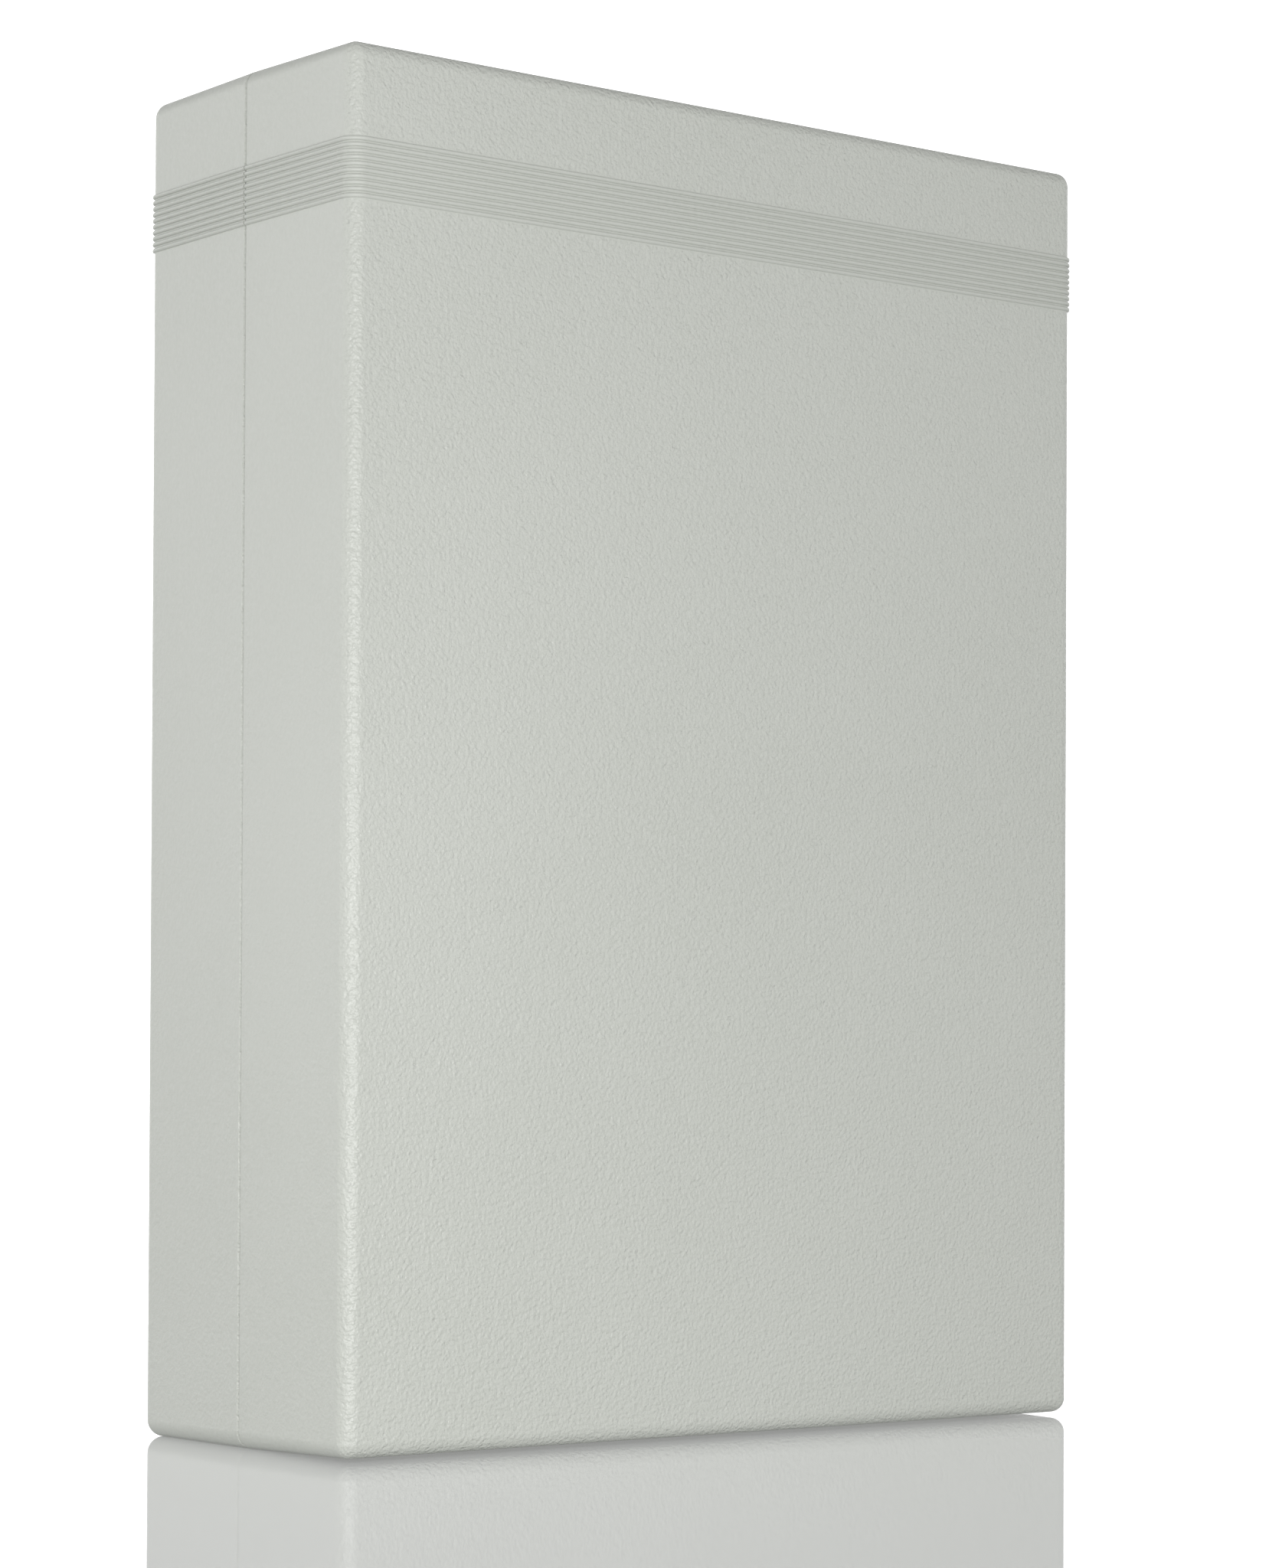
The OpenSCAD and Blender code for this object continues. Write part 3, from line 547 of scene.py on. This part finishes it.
def case_plastic():
    """Grey-white moulding. Its spark-eroded grain is strongest on the front and stops at the rib band."""
    s = Surface("case_plastic", (0.55, 0.565, 0.525), 0.40, Specular_IOR_Level=0.5)
    tone = s.noise(9, 3, 0.55)
    speck = s.noise(900, 2, 0.6)
    base = s.blend_colour(s.remap(tone, 0.3, 0.7, 0, 1), (0.535, 0.553, 0.508), (0.560, 0.577, 0.534))
    s.colour(s.blend_colour(s.remap(speck, 0.35, 0.7, 0, 0.5), base, (0.585, 0.60, 0.56)))
    middle = RIB_LOW_Z + (RIB_COUNT - 1) * RIB_PITCH / 2
    half = RIB_COUNT * RIB_PITCH / 2
    away = s.maths("ABSOLUTE", s.maths("SUBTRACT", s.axis("Z"), middle))
    outside_band = s.remap(away, half - 0.1 * MM, half + 0.25 * MM, 0, 1)
    geometry = s.add("ShaderNodeNewGeometry")
    facing = s.add("ShaderNodeSeparateXYZ")
    s.link(geometry.outputs["True Normal"], facing.inputs[0])
    frontal = s.remap(s.maths("ABSOLUTE", facing.outputs["Y"]), 0.1, 0.5, 0.25, 1.0)
    strength = s.maths("MULTIPLY", outside_band, frontal)
    lumps = s.noise(1050, 1, 0.5)
    pits = s.cells(900, "SMOOTH_F1")
    grain = s.maths("ADD", s.maths("MULTIPLY", pits, 0.2), s.maths("MULTIPLY", lumps, 1.2))
    s.bump(grain, 0.36 * MM, strength)
    s.rough(s.remap(s.noise(700, 2), 0.3, 0.7, 0.285, 0.385))
    return s.material


def tint(colour, factor):
    return tuple(min(1.0, c * factor) for c in colour)


def moulded(name, colour, roughness, grain=1400, depth=0.03, **sockets):
    """Moulded plastic or rubber with an uneven tone, a fine grain and soft changes of gloss."""
    s = Surface(name, colour, roughness, **sockets)
    tone = s.remap(s.noise(55, 3, 0.6), 0.3, 0.7, 0, 1)
    s.colour(s.blend_colour(tone, tint(colour, 0.88), tint(colour, 1.14)))
    s.rough(s.remap(s.noise(260, 3), 0.3, 0.7, roughness - 0.06, roughness + 0.08))
    s.bump(s.noise(grain, 3, 0.6), depth * MM)
    return s.material


def plated(name, colour, roughness, stretch, depth=0.02):
    """Metal with drawn or brushed lines, which the stretch of the pattern sets, and dull patches."""
    s = Surface(name, colour, roughness, metallic=1.0)
    lines = s.noise(1, 3, 0.65, s.scaled(*stretch))
    patches = s.noise(90, 3, 0.6)
    tone = s.remap(s.maths("ADD", lines, patches), 0.6, 1.4, 0, 1)
    s.colour(s.blend_colour(tone, tint(colour, 0.82), tint(colour, 1.1)))
    drawn = s.remap(lines, 0.3, 0.7, roughness - 0.08, roughness + 0.06)
    s.rough(s.maths("ADD", drawn, s.remap(patches, 0.4, 0.8, 0, 0.14)))
    s.bump(lines, depth * MM)
    return s.material


def foam():
    s = Surface("foam", (0.06, 0.06, 0.065), 0.95)
    cells = s.cells(1100)
    # Painted shade: each cell is darkest at its centre, at the bottom of the pit that the bump below sinks
    # there.
    s.colour(s.blend_colour(s.remap(cells, 0.1, 0.6, 0, 1), (0.02, 0.02, 0.022), (0.085, 0.085, 0.09)))
    s.bump(cells, 0.4 * MM)
    return s.material


def board_laminate():
    """Green solder mask over woven glass."""
    s = Surface("board_laminate", (0.012, 0.14, 0.06), 0.28, Coat_Weight=0.3, Coat_Roughness=0.12)
    turns = 2 * math.pi / (0.55 * MM)
    weave = s.maths("ADD", s.maths("SINE", s.maths("MULTIPLY", s.axis("X"), turns)),
                    s.maths("SINE", s.maths("MULTIPLY", s.axis("Z"), turns)))
    base = s.blend_colour(s.remap(weave, -2, 2, 0, 1), (0.008, 0.105, 0.045), (0.014, 0.150, 0.066))
    s.colour(s.blend_colour(s.remap(s.noise(40, 3), 0.35, 0.7, 0, 0.5), base, (0.016, 0.17, 0.08)))
    s.rough(s.remap(s.noise(400, 2), 0.3, 0.7, 0.22, 0.36))
    s.bump(weave, 0.006 * MM)
    return s.material


def winding_tape():
    """Polyester tape in overlapped turns, with painted shade in a dark band at the foot of each turn's step.
    """
    s = Surface("winding_tape", (0.62, 0.42, 0.05), 0.25, Coat_Weight=0.5, Coat_Roughness=0.15)
    turns = s.maths("FRACT", s.maths("MULTIPLY", s.axis("Z"), 1 / (2.6 * MM)))
    # Painted shade: the colour is darkest at the low foot of each step of the turn bump.
    base = s.blend_colour(s.remap(turns, 0.0, 0.12, 0, 1), (0.36, 0.22, 0.02), (0.64, 0.43, 0.05))
    s.colour(s.blend_colour(s.remap(s.noise(300, 3), 0.35, 0.7, 0, 0.4), base, (0.70, 0.52, 0.09)))
    s.bump(s.maths("ADD", turns, s.noise(500, 2)), 0.08 * MM)
    return s.material


def lens(name, colour):
    """Tinted, lightly frosted lamp lens."""
    s = Surface(name, colour, 0.22, Transmission_Weight=0.45, IOR=1.5, Coat_Weight=0.4)
    s.colour(s.blend_colour(s.remap(s.noise(300, 3), 0.3, 0.7, 0, 1), tint(colour, 0.8), tint(colour, 1.2)))
    s.bump(s.noise(700, 2), 0.01 * MM)
    return s.material


def fuse_glass():
    s = Surface("fuse_glass", (0.85, 0.92, 0.92), 0.04, Transmission_Weight=1.0, IOR=1.5)
    s.rough(s.remap(s.noise(500, 3), 0.4, 0.8, 0.02, 0.10))
    s.bump(s.noise(200, 2), 0.01 * MM)
    return s.material


def enamelled_copper():
    s = Surface("copper_wire", (0.62, 0.25, 0.10), 0.24, metallic=1.0, Coat_Weight=0.7, Coat_Roughness=0.08)
    s.colour(s.blend_colour(s.remap(s.noise(350, 3), 0.3, 0.7, 0, 1), (0.46, 0.15, 0.05), (0.72, 0.32, 0.13)))
    s.rough(s.remap(s.noise(900, 2), 0.3, 0.7, 0.18, 0.34))
    return s.material


materials = {
    "case_plastic": case_plastic(),
    "black_rubber": moulded("black_rubber", (0.022, 0.022, 0.023), 0.62, 1100, 0.05),
    "zinc_steel": plated("zinc_steel", (0.56, 0.57, 0.58), 0.37, (60, 1800, 1800)),
    "brass": plated("brass", (0.76, 0.55, 0.25), 0.26, (900, 900, 5000)),
    "battery_case_plastic": moulded("battery_case_plastic", (0.045, 0.048, 0.053), 0.44, 1300, 0.06),
    "battery_lid_plastic": moulded("battery_lid_plastic", (0.028, 0.030, 0.033), 0.36, 1300, 0.04),
    "tinned_metal": plated("tinned_metal", (0.74, 0.73, 0.70), 0.34, (500, 500, 2500), 0.01),
    "foam": foam(),
    "board_laminate": board_laminate(),
    "heatsink_aluminium": plated("heatsink_aluminium", (0.60, 0.62, 0.65), 0.36, (2400, 90, 2400)),
    "black_epoxy": moulded("black_epoxy", (0.018, 0.018, 0.020), 0.48, 2600, 0.03),
    "capacitor_sleeve": moulded("capacitor_sleeve", (0.012, 0.020, 0.045), 0.22, 400, 0.02, Coat_Weight=0.3),
    "ferrite": moulded("ferrite", (0.050, 0.052, 0.055), 0.55, 3000, 0.04),
    "winding_tape": winding_tape(),
    "copper_wire": enamelled_copper(),
    "relay_plastic": moulded("relay_plastic", (0.020, 0.060, 0.180), 0.26, 2200, 0.012),
    "terminal_plastic": moulded("terminal_plastic", (0.030, 0.230, 0.080), 0.34, 2200, 0.02),
    "fuse_glass": fuse_glass(),
    "green_lens": lens("green_lens", (0.08, 0.45, 0.10)),
    "red_lens": lens("red_lens", (0.60, 0.05, 0.03)),
    "black_plastic": moulded("black_plastic", (0.020, 0.020, 0.022), 0.30, 2200, 0.015),
    "red_plastic": moulded("red_plastic", (0.50, 0.035, 0.025), 0.30, 2200, 0.015),
    "yellow_insulation": moulded("yellow_insulation", (0.70, 0.50, 0.03), 0.36, 900, 0.02),
    "black_insulation": moulded("black_insulation", (0.016, 0.016, 0.016), 0.36, 900, 0.02),
    "red_insulation": moulded("red_insulation", (0.48, 0.028, 0.018), 0.36, 900, 0.02),
    "clip_nylon": moulded("clip_nylon", (0.70, 0.69, 0.63), 0.42, 1500, 0.02, Subsurface_Weight=0.15),
}


def paint(obj, *slots):
    """Gives a new piece the materials of the named slots, in the order given."""
    obj.data.materials.clear()
    for name in slots:
        obj.data.materials.append(materials[name])


for shell in (cover, rear):
    paint(shell, "case_plastic")

# ---------------------------------------------------------------- CAD nodes that stay


def smoothing_group(angle):
    """Node group that drops stored normals and shades smooth, with edges sharper than angle kept sharp."""
    group = bpy.data.node_groups.new("smooth_by_angle", "GeometryNodeTree")
    group.interface.new_socket("Geometry", in_out="INPUT", socket_type="NodeSocketGeometry")
    group.interface.new_socket("Geometry", in_out="OUTPUT", socket_type="NodeSocketGeometry")
    start, end = group.nodes.new("NodeGroupInput"), group.nodes.new("NodeGroupOutput")
    clean = group.nodes.new("GeometryNodeRemoveAttribute")
    clean.inputs["Name"].default_value = "custom_normal"
    faces = group.nodes.new("GeometryNodeSetShadeSmooth")
    faces.inputs["Shade Smooth"].default_value = True
    edges = group.nodes.new("GeometryNodeSetShadeSmooth")
    edges.domain = "EDGE"
    edge_angle = group.nodes.new("GeometryNodeInputMeshEdgeAngle")
    compare = group.nodes.new("FunctionNodeCompare")
    compare.operation = "LESS_EQUAL"
    compare.inputs["B"].default_value = angle
    group.links.new(edge_angle.outputs["Unsigned Angle"], compare.inputs["A"])
    group.links.new(compare.outputs["Result"], edges.inputs["Shade Smooth"])
    chain = [start, clean, faces, edges, end]
    for a, b in zip(chain, chain[1:]):
        group.links.new(a.outputs[0], b.inputs[0])
    return group


SMOOTHING = smoothing_group(math.radians(30))
EDGE_ROUND = {"battery_shelf": 0.4, "heatsink": 0.15, "power_transistors": 0.12, "control_chip": 0.08,
              "small_parts": 0.08, "transformer_winding": 0.9, "transformer_core": 0.4, "relay": 0.5,
              "battery_pads": 0.8, "tab_sleeves": 0.7, "isolator_body": 0.4, "isolator_rocker": 0.3,
              "lower_strap": 0.3, "upper_strap": 0.3, "lead_clips": 0.4}
EDGE_ROUND_USUAL = 0.2


def finish_node(obj, name):
    """Rounded edges and even shading on a CAD node, without a change to its mesh."""
    weld = obj.modifiers.new("weld", "WELD")
    weld.merge_threshold = 0.005 * MM
    bevel = obj.modifiers.new("bevel", "BEVEL")
    bevel.width = EDGE_ROUND.get(name, EDGE_ROUND_USUAL) * MM
    bevel.segments = 2
    bevel.limit_method = "ANGLE"
    bevel.angle_limit = math.radians(40)
    smoothing = obj.modifiers.new("smoothing", "NODES")
    smoothing.node_group = SMOOTHING
    weighted = obj.modifiers.new("weighted", "WEIGHTED_NORMAL")
    weighted.keep_sharp = True


for row in frame["record"]["subparts"]:
    node = nodes[row["node"]]
    for material_slot in node.material_slots:
        material_slot.link = "OBJECT"
        material_slot.material = materials[row["material_slot"]]
    if row["node"] not in ("front_cover", "rear_case"):
        finish_node(node, row["node"])

# ---------------------------------------------------------------- pieces inside that replace CAD stand-ins


def rounded_rectangle(z, low, high, r, steps=6):
    """Ring in a plane of constant z between two corners given as (x, y)."""
    points = []
    for sx, sy, start in ((1, 1, 0), (0, 1, 90), (0, 0, 180), (1, 0, 270)):
        x = high[0] - r if sx else low[0] + r
        y = high[1] - r if sy else low[1] + r
        for i in range(steps + 1):
            a = math.radians(start + 90 * i / steps)
            points.append(Vector((x + r * math.cos(a), y + r * math.sin(a), z)))
    return points


JAR_CORNER_R = 2.4 * MM


def battery_case(name, node):
    """Moulded jar: rounded foot, ledge under the lid, and shallow panels on its front and ends."""
    low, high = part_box(node)
    foot, ledge, panel_depth, frame_w = 1.2 * MM, 0.5 * MM, 0.5 * MM, 7 * MM

    def body(bm):
        levels = [(low[2], foot)]
        for a in (math.radians(30), math.radians(60), math.radians(90)):
            levels.append((low[2] + foot * (1 - math.cos(a)), foot * (1 - math.sin(a))))
        levels += [(high[2] - 2.5 * MM, 0.0), (high[2] - 2.0 * MM, ledge), (high[2], ledge)]
        loft(bm, [rounded_rectangle(z, (low[0] + d, low[1] + d), (high[0] - d, high[1] - d), JAR_CORNER_R)
                  for z, d in levels])

    def panels(bm):
        z0, z1 = low[2] + frame_w, high[2] - frame_w
        block(bm, (low[0] + frame_w, low[1] - 1 * MM, z0), (high[0] - frame_w, low[1] + panel_depth, z1))
        for x0, x1 in ((low[0] - 1 * MM, low[0] + panel_depth), (high[0] - panel_depth, high[0] + 1 * MM)):
            block(bm, (x0, low[1] + frame_w, z0), (x1, high[1] - frame_w, z1))

    obj = mesh_object(name, body)
    carve(obj, "DIFFERENCE", mesh_object(name + "_tool", panels))
    bevel = obj.modifiers.new("bevel", "BEVEL")
    bevel.width = 0.3 * MM
    bevel.segments = 2
    bevel.limit_method = "ANGLE"
    bevel.angle_limit = math.radians(40)
    shade(obj)
    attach(obj, "case")
    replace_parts(obj, node)
    paint(obj, "battery_case_plastic")


battery_case("lower_battery_jar", "battery_lower_case")
battery_case("upper_battery_jar", "battery_upper_case")

BOARD_FRONT = 0.030
CAPACITORS = ((-0.008, 0.257, 0.008, 0.028), (0.011, 0.257, 0.008, 0.028), (-0.066, 0.250, 0.005, 0.016),
              (-0.054, 0.250, 0.005, 0.016), (0.052, 0.280, 0.004, 0.012))
CAN_SIDES = 48
STRIPE_SIDES = 5
FIRST_STRIPE_RING = 5
FIRST_BARE_RING = 8
VENT_LINE_HALF = 0.13 * MM
VENT_LINE_REACH = 0.55
VENT_LINE_DEPTH = 0.35 * MM


def capacitor_rings(x, z, r, length):
    """Profile of a can from the board to its end: crimp groove, sleeve, rolled rim and recessed end."""
    top = length / MM
    profile = [(0.0, r * 0.90), (0.35, r * 0.97), (1.2, r * 0.97), (1.7, r * 0.90), (2.3, r * 0.90),
               (2.8, r * 0.99), (top - 0.9, r * 0.99), (top - 0.45, r * 0.965), (top - 0.15, r * 0.91),
               (top, r * 0.84), (top - 0.1, r * 0.78)]
    return [[Vector((x + radius * math.cos(2 * math.pi * k / CAN_SIDES), BOARD_FRONT - depth * MM,
                     z + radius * math.sin(2 * math.pi * k / CAN_SIDES))) for k in range(CAN_SIDES)]
            for depth, radius in profile]


def make_capacitors():
    """Cans with a plain pale stripe down the sleeve, a bare aluminium end and its pressure vent."""
    def cans(bm):
        for x, z, r, length in CAPACITORS:
            first = len(bm.faces)
            rings = capacitor_rings(x, z, r, length)
            loft(bm, rings)
            bm.faces.ensure_lookup_table()
            for ring_index in range(len(rings) - 1):
                for side in range(CAN_SIDES):
                    face = bm.faces[first + ring_index * CAN_SIDES + side]
                    if ring_index >= FIRST_BARE_RING:
                        face.material_index = 1
                    elif side < STRIPE_SIDES and ring_index >= FIRST_STRIPE_RING:
                        face.material_index = 2
            bm.faces[-1].material_index = 1

    def vents(bm):
        for x, z, r, length in CAPACITORS:
            end = BOARD_FRONT - length
            half, reach = VENT_LINE_HALF, r * VENT_LINE_REACH
            block(bm, (x - reach, end - 1 * MM, z - half), (x + reach, end + VENT_LINE_DEPTH, z + half))

    def cross_vents(bm):
        for x, z, r, length in CAPACITORS:
            end = BOARD_FRONT - length
            half, reach = VENT_LINE_HALF, r * VENT_LINE_REACH
            block(bm, (x - half, end - 1 * MM, z - reach), (x + half, end + VENT_LINE_DEPTH, z + reach))

    obj = mesh_object("capacitor_cans", cans)
    paint(obj, "capacitor_sleeve", "tinned_metal", "clip_nylon")
    carve(obj, "DIFFERENCE", mesh_object("vents", vents))
    carve(obj, "DIFFERENCE", mesh_object("cross_vents", cross_vents))
    shade(obj, 35)
    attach(obj, "case")
    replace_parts(obj, "filter_capacitors")


make_capacitors()


def wire(name, route, radius, slot):
    """Round wire with closed ends along a list of points, fixed to the case."""
    data = bpy.data.curves.new(name, "CURVE")
    data.dimensions = "3D"
    data.bevel_depth = radius
    data.bevel_resolution = 5
    data.use_fill_caps = True
    spline = data.splines.new("POLY")
    spline.points.add(len(route) - 1)
    for point, place in zip(spline.points, route):
        point.co = (*place, 1)
    curve = bpy.data.objects.new(name + "_curve", data)
    bpy.context.scene.collection.objects.link(curve)
    depsgraph = bpy.context.evaluated_depsgraph_get()
    mesh = bpy.data.meshes.new_from_object(curve.evaluated_get(depsgraph))
    bpy.data.objects.remove(curve)
    obj = bpy.data.objects.new(name, mesh)
    bpy.context.scene.collection.objects.link(obj)
    shade(obj, 40)
    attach(obj, "case")
    paint(obj, slot)
    return obj


def smooth_route(points, steps=8):
    """Catmull-Rom curve through points given in millimetres."""
    p = [Vector(q) * MM for q in points]
    route = []
    for i in range(len(p) - 1):
        a, b, c, d = p[max(i - 1, 0)], p[i], p[i + 1], p[min(i + 2, len(p) - 1)]
        for k in range(steps):
            t = k / steps
            route.append(0.5 * (2 * b + (c - a) * t + (2 * a - 5 * b + 4 * c - d) * t * t
                                + (3 * b - 3 * c + d - a) * t ** 3))
    return route + [p[-1]]


LEAD_R = 1.4 * MM
COPPER_R = 0.55 * MM
NEGATIVE_ROUTE = ((-78.2, -13, 106.5), (-88, -12, 106.8), (-97, -4, 110), (-100, 12, 118), (-100, 29, 131),
                  (-100, 36, 148), (-100, 36, 158), (-100, 36, 172), (-100, 36, 185), (-98, 33, 203),
                  (-90, 27, 215), (-76, 23, 217), (-68, 22.6, 220), (-66.2, 22.5, 224), (-66, 22.5, 227.8))
POSITIVE_ROUTE = ((78.2, -13, 214.5), (87, -12.4, 215.2), (93, -7, 217.5), (93, 2, 219.5), (86, 11, 220),
                  (76, 18, 220), (68, 22, 221.5), (66.2, 22.5, 224.5), (66, 22.5, 227.8))
LINK_ROUTE = ((78.2, -13, 106.5), (88, -12, 106.8), (97, -4, 110), (101, 12, 118), (101, 29, 131),
              (101, 36, 148), (101, 36, 158), (101, 36, 172), (101, 36, 185), (98, 32, 202), (86, 22, 213),
              (60, 12, 215), (20, 6, 214.5), (-20, -4, 214.5), (-36, -11, 214.5), (-49.8, -13, 214.5))
for name, node, route, slot in (("negative_wire", "negative_lead", NEGATIVE_ROUTE, "black_insulation"),
                                ("positive_wire", "positive_lead", POSITIVE_ROUTE, "red_insulation"),
                                ("link_wire", "link_lead", LINK_ROUTE, "yellow_insulation")):
    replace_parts(wire(name, smooth_route(route), LEAD_R, slot), node)


def inductor_turns():
    """Wire wound round the ring: the loop's section follows the core's square section."""
    centre = Vector((0.032, 0.024, 0.288))
    mean_r, half_r, half_y = 9.5 * MM, 3.72 * MM, 5.22 * MM
    turns, span, steps = 26, math.radians(318), 20
    route = []
    for i in range(turns * steps + 1):
        ring_angle = span * i / (turns * steps)
        a = 2 * math.pi * i / steps
        out = mean_r + half_r * math.copysign(abs(math.cos(a)) ** 0.3, math.cos(a))
        across = half_y * math.copysign(abs(math.sin(a)) ** 0.3, math.sin(a))
        route.append(centre + Vector((out * math.cos(ring_angle), across, out * math.sin(ring_angle))))
    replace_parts(wire("inductor_turns", route, COPPER_R, "copper_wire"), "inductor_winding")


inductor_turns()

# ---------------------------------------------------------------- floor, light and camera

WORLD_FRONT = 0.96
WORLD_BEHIND = 1.65
WORLD_CEILING = 0.38
HORIZON_YS = (-0.3, 0.6)
CEILING_ZS = (0.28, 0.62)
FLOOR_HALF = 9
FLOOR_T = 0.02
FLOOR_GLOW = 0.172
FLOOR_TONE_LOW = (0.50, 0.505, 0.51)
FLOOR_TONE_HIGH = (0.52, 0.525, 0.53)


def make_world():
    """Soft studio surround: a bright band at the horizon, brightest behind the case, and a dimmer ceiling."""
    world = bpy.data.worlds.new("studio")
    bpy.context.scene.world = world
    world.use_nodes = True
    tree = world.node_tree
    coordinates = tree.nodes.new("ShaderNodeTexCoord")
    split = tree.nodes.new("ShaderNodeSeparateXYZ")
    tree.links.new(coordinates.outputs["Generated"], split.inputs[0])

    def ramp(source, low, high, to_low, to_high):
        node = tree.nodes.new("ShaderNodeMapRange")
        node.interpolation_type = "SMOOTHSTEP"
        tree.links.new(source, node.inputs["Value"])
        for name, value in (("From Min", low), ("From Max", high)):
            node.inputs[name].default_value = value
        for name, value in (("To Min", to_low), ("To Max", to_high)):
            if isinstance(value, float):
                node.inputs[name].default_value = value
            else:
                tree.links.new(value, node.inputs[name])
        return node.outputs["Result"]

    horizon = ramp(split.outputs["Y"], *HORIZON_YS, WORLD_FRONT, WORLD_BEHIND)
    strength = ramp(split.outputs["Z"], *CEILING_ZS, horizon, WORLD_CEILING)
    background = tree.nodes["Background"]
    background.inputs["Color"].default_value = (1, 1, 1, 1)
    tree.links.new(strength, background.inputs["Strength"])


def make_stage():
    """Glossy floor. Returns the light-linking collection that keeps the lamps' light off it."""
    outline = rectangle(-FLOOR_HALF, -FLOOR_HALF, FLOOR_HALF, FLOOR_HALF)
    floor = mesh_object("floor", lambda bm: prism(bm, outline, 2, -FLOOR_T, 0.0))
    s = Surface("floor_gloss", (0.51, 0.51, 0.52), 0.02, IOR=1.5, Emission_Color=(1, 1, 1, 1),
                Emission_Strength=FLOOR_GLOW)
    s.colour(s.blend_colour(s.noise(0.7, 2), FLOOR_TONE_LOW, FLOOR_TONE_HIGH))
    floor.data.materials.append(s.material)
    unlit = bpy.data.collections.new("unlit_by_lamps")
    unlit.objects.link(floor)
    unlit.collection_objects[0].light_linking.link_state = "EXCLUDE"
    return unlit


def area_light(name, place, target, width, height, power, unlit):
    """Soft lamp aimed at target, unseen by the camera, that leaves the objects of unlit dark."""
    data = bpy.data.lights.new(name, "AREA")
    data.shape = "RECTANGLE"
    data.size, data.size_y = width, height
    data.energy = power
    lamp = bpy.data.objects.new(name, data)
    bpy.context.scene.collection.objects.link(lamp)
    lamp.location = place
    lamp.visible_camera = False
    lamp.light_linking.receiver_collection = unlit
    lamp.rotation_mode = "QUATERNION"
    lamp.rotation_quaternion = (Vector(target) - Vector(place)).to_track_quat("-Z", "Y")


def make_camera():
    """Camera a little over a metre away, to the left of the front, level with the lower third of the case."""
    place = Vector((-0.6391, -0.8243, 0.0928))
    yaw, pitch, roll = 0.6617, 0.0143, 0.0046
    forward = Vector((math.sin(yaw) * math.cos(pitch), math.cos(yaw) * math.cos(pitch), math.sin(pitch)))
    level = Vector((math.cos(yaw), -math.sin(yaw), 0))
    upright = level.cross(forward)
    right = level * math.cos(roll) + upright * math.sin(roll)
    up = upright * math.cos(roll) - level * math.sin(roll)
    data = bpy.data.cameras.new("camera")
    data.lens = 93.60
    data.sensor_width = 36
    data.shift_y = 0.14
    data.clip_start, data.clip_end = 0.05, 50
    camera = bpy.data.objects.new("camera", data)
    bpy.context.scene.collection.objects.link(camera)
    axes = Matrix((right, up, -forward)).transposed()
    camera.matrix_world = Matrix.Translation(place) @ axes.to_4x4()
    bpy.context.scene.camera = camera


make_world()
unlit = make_stage()
area_light("side_softbox", (-0.56, -0.46, 0.09), (-0.10, -0.04, 0.03), 0.26, 0.16, 1.04, unlit)
area_light("front_softbox", (-0.30, -0.66, 0.09), (-0.03, -0.04, 0.06), 0.40, 0.16, 1.58, unlit)
make_camera()
bpy.context.scene.view_settings.view_transform = "Standard"
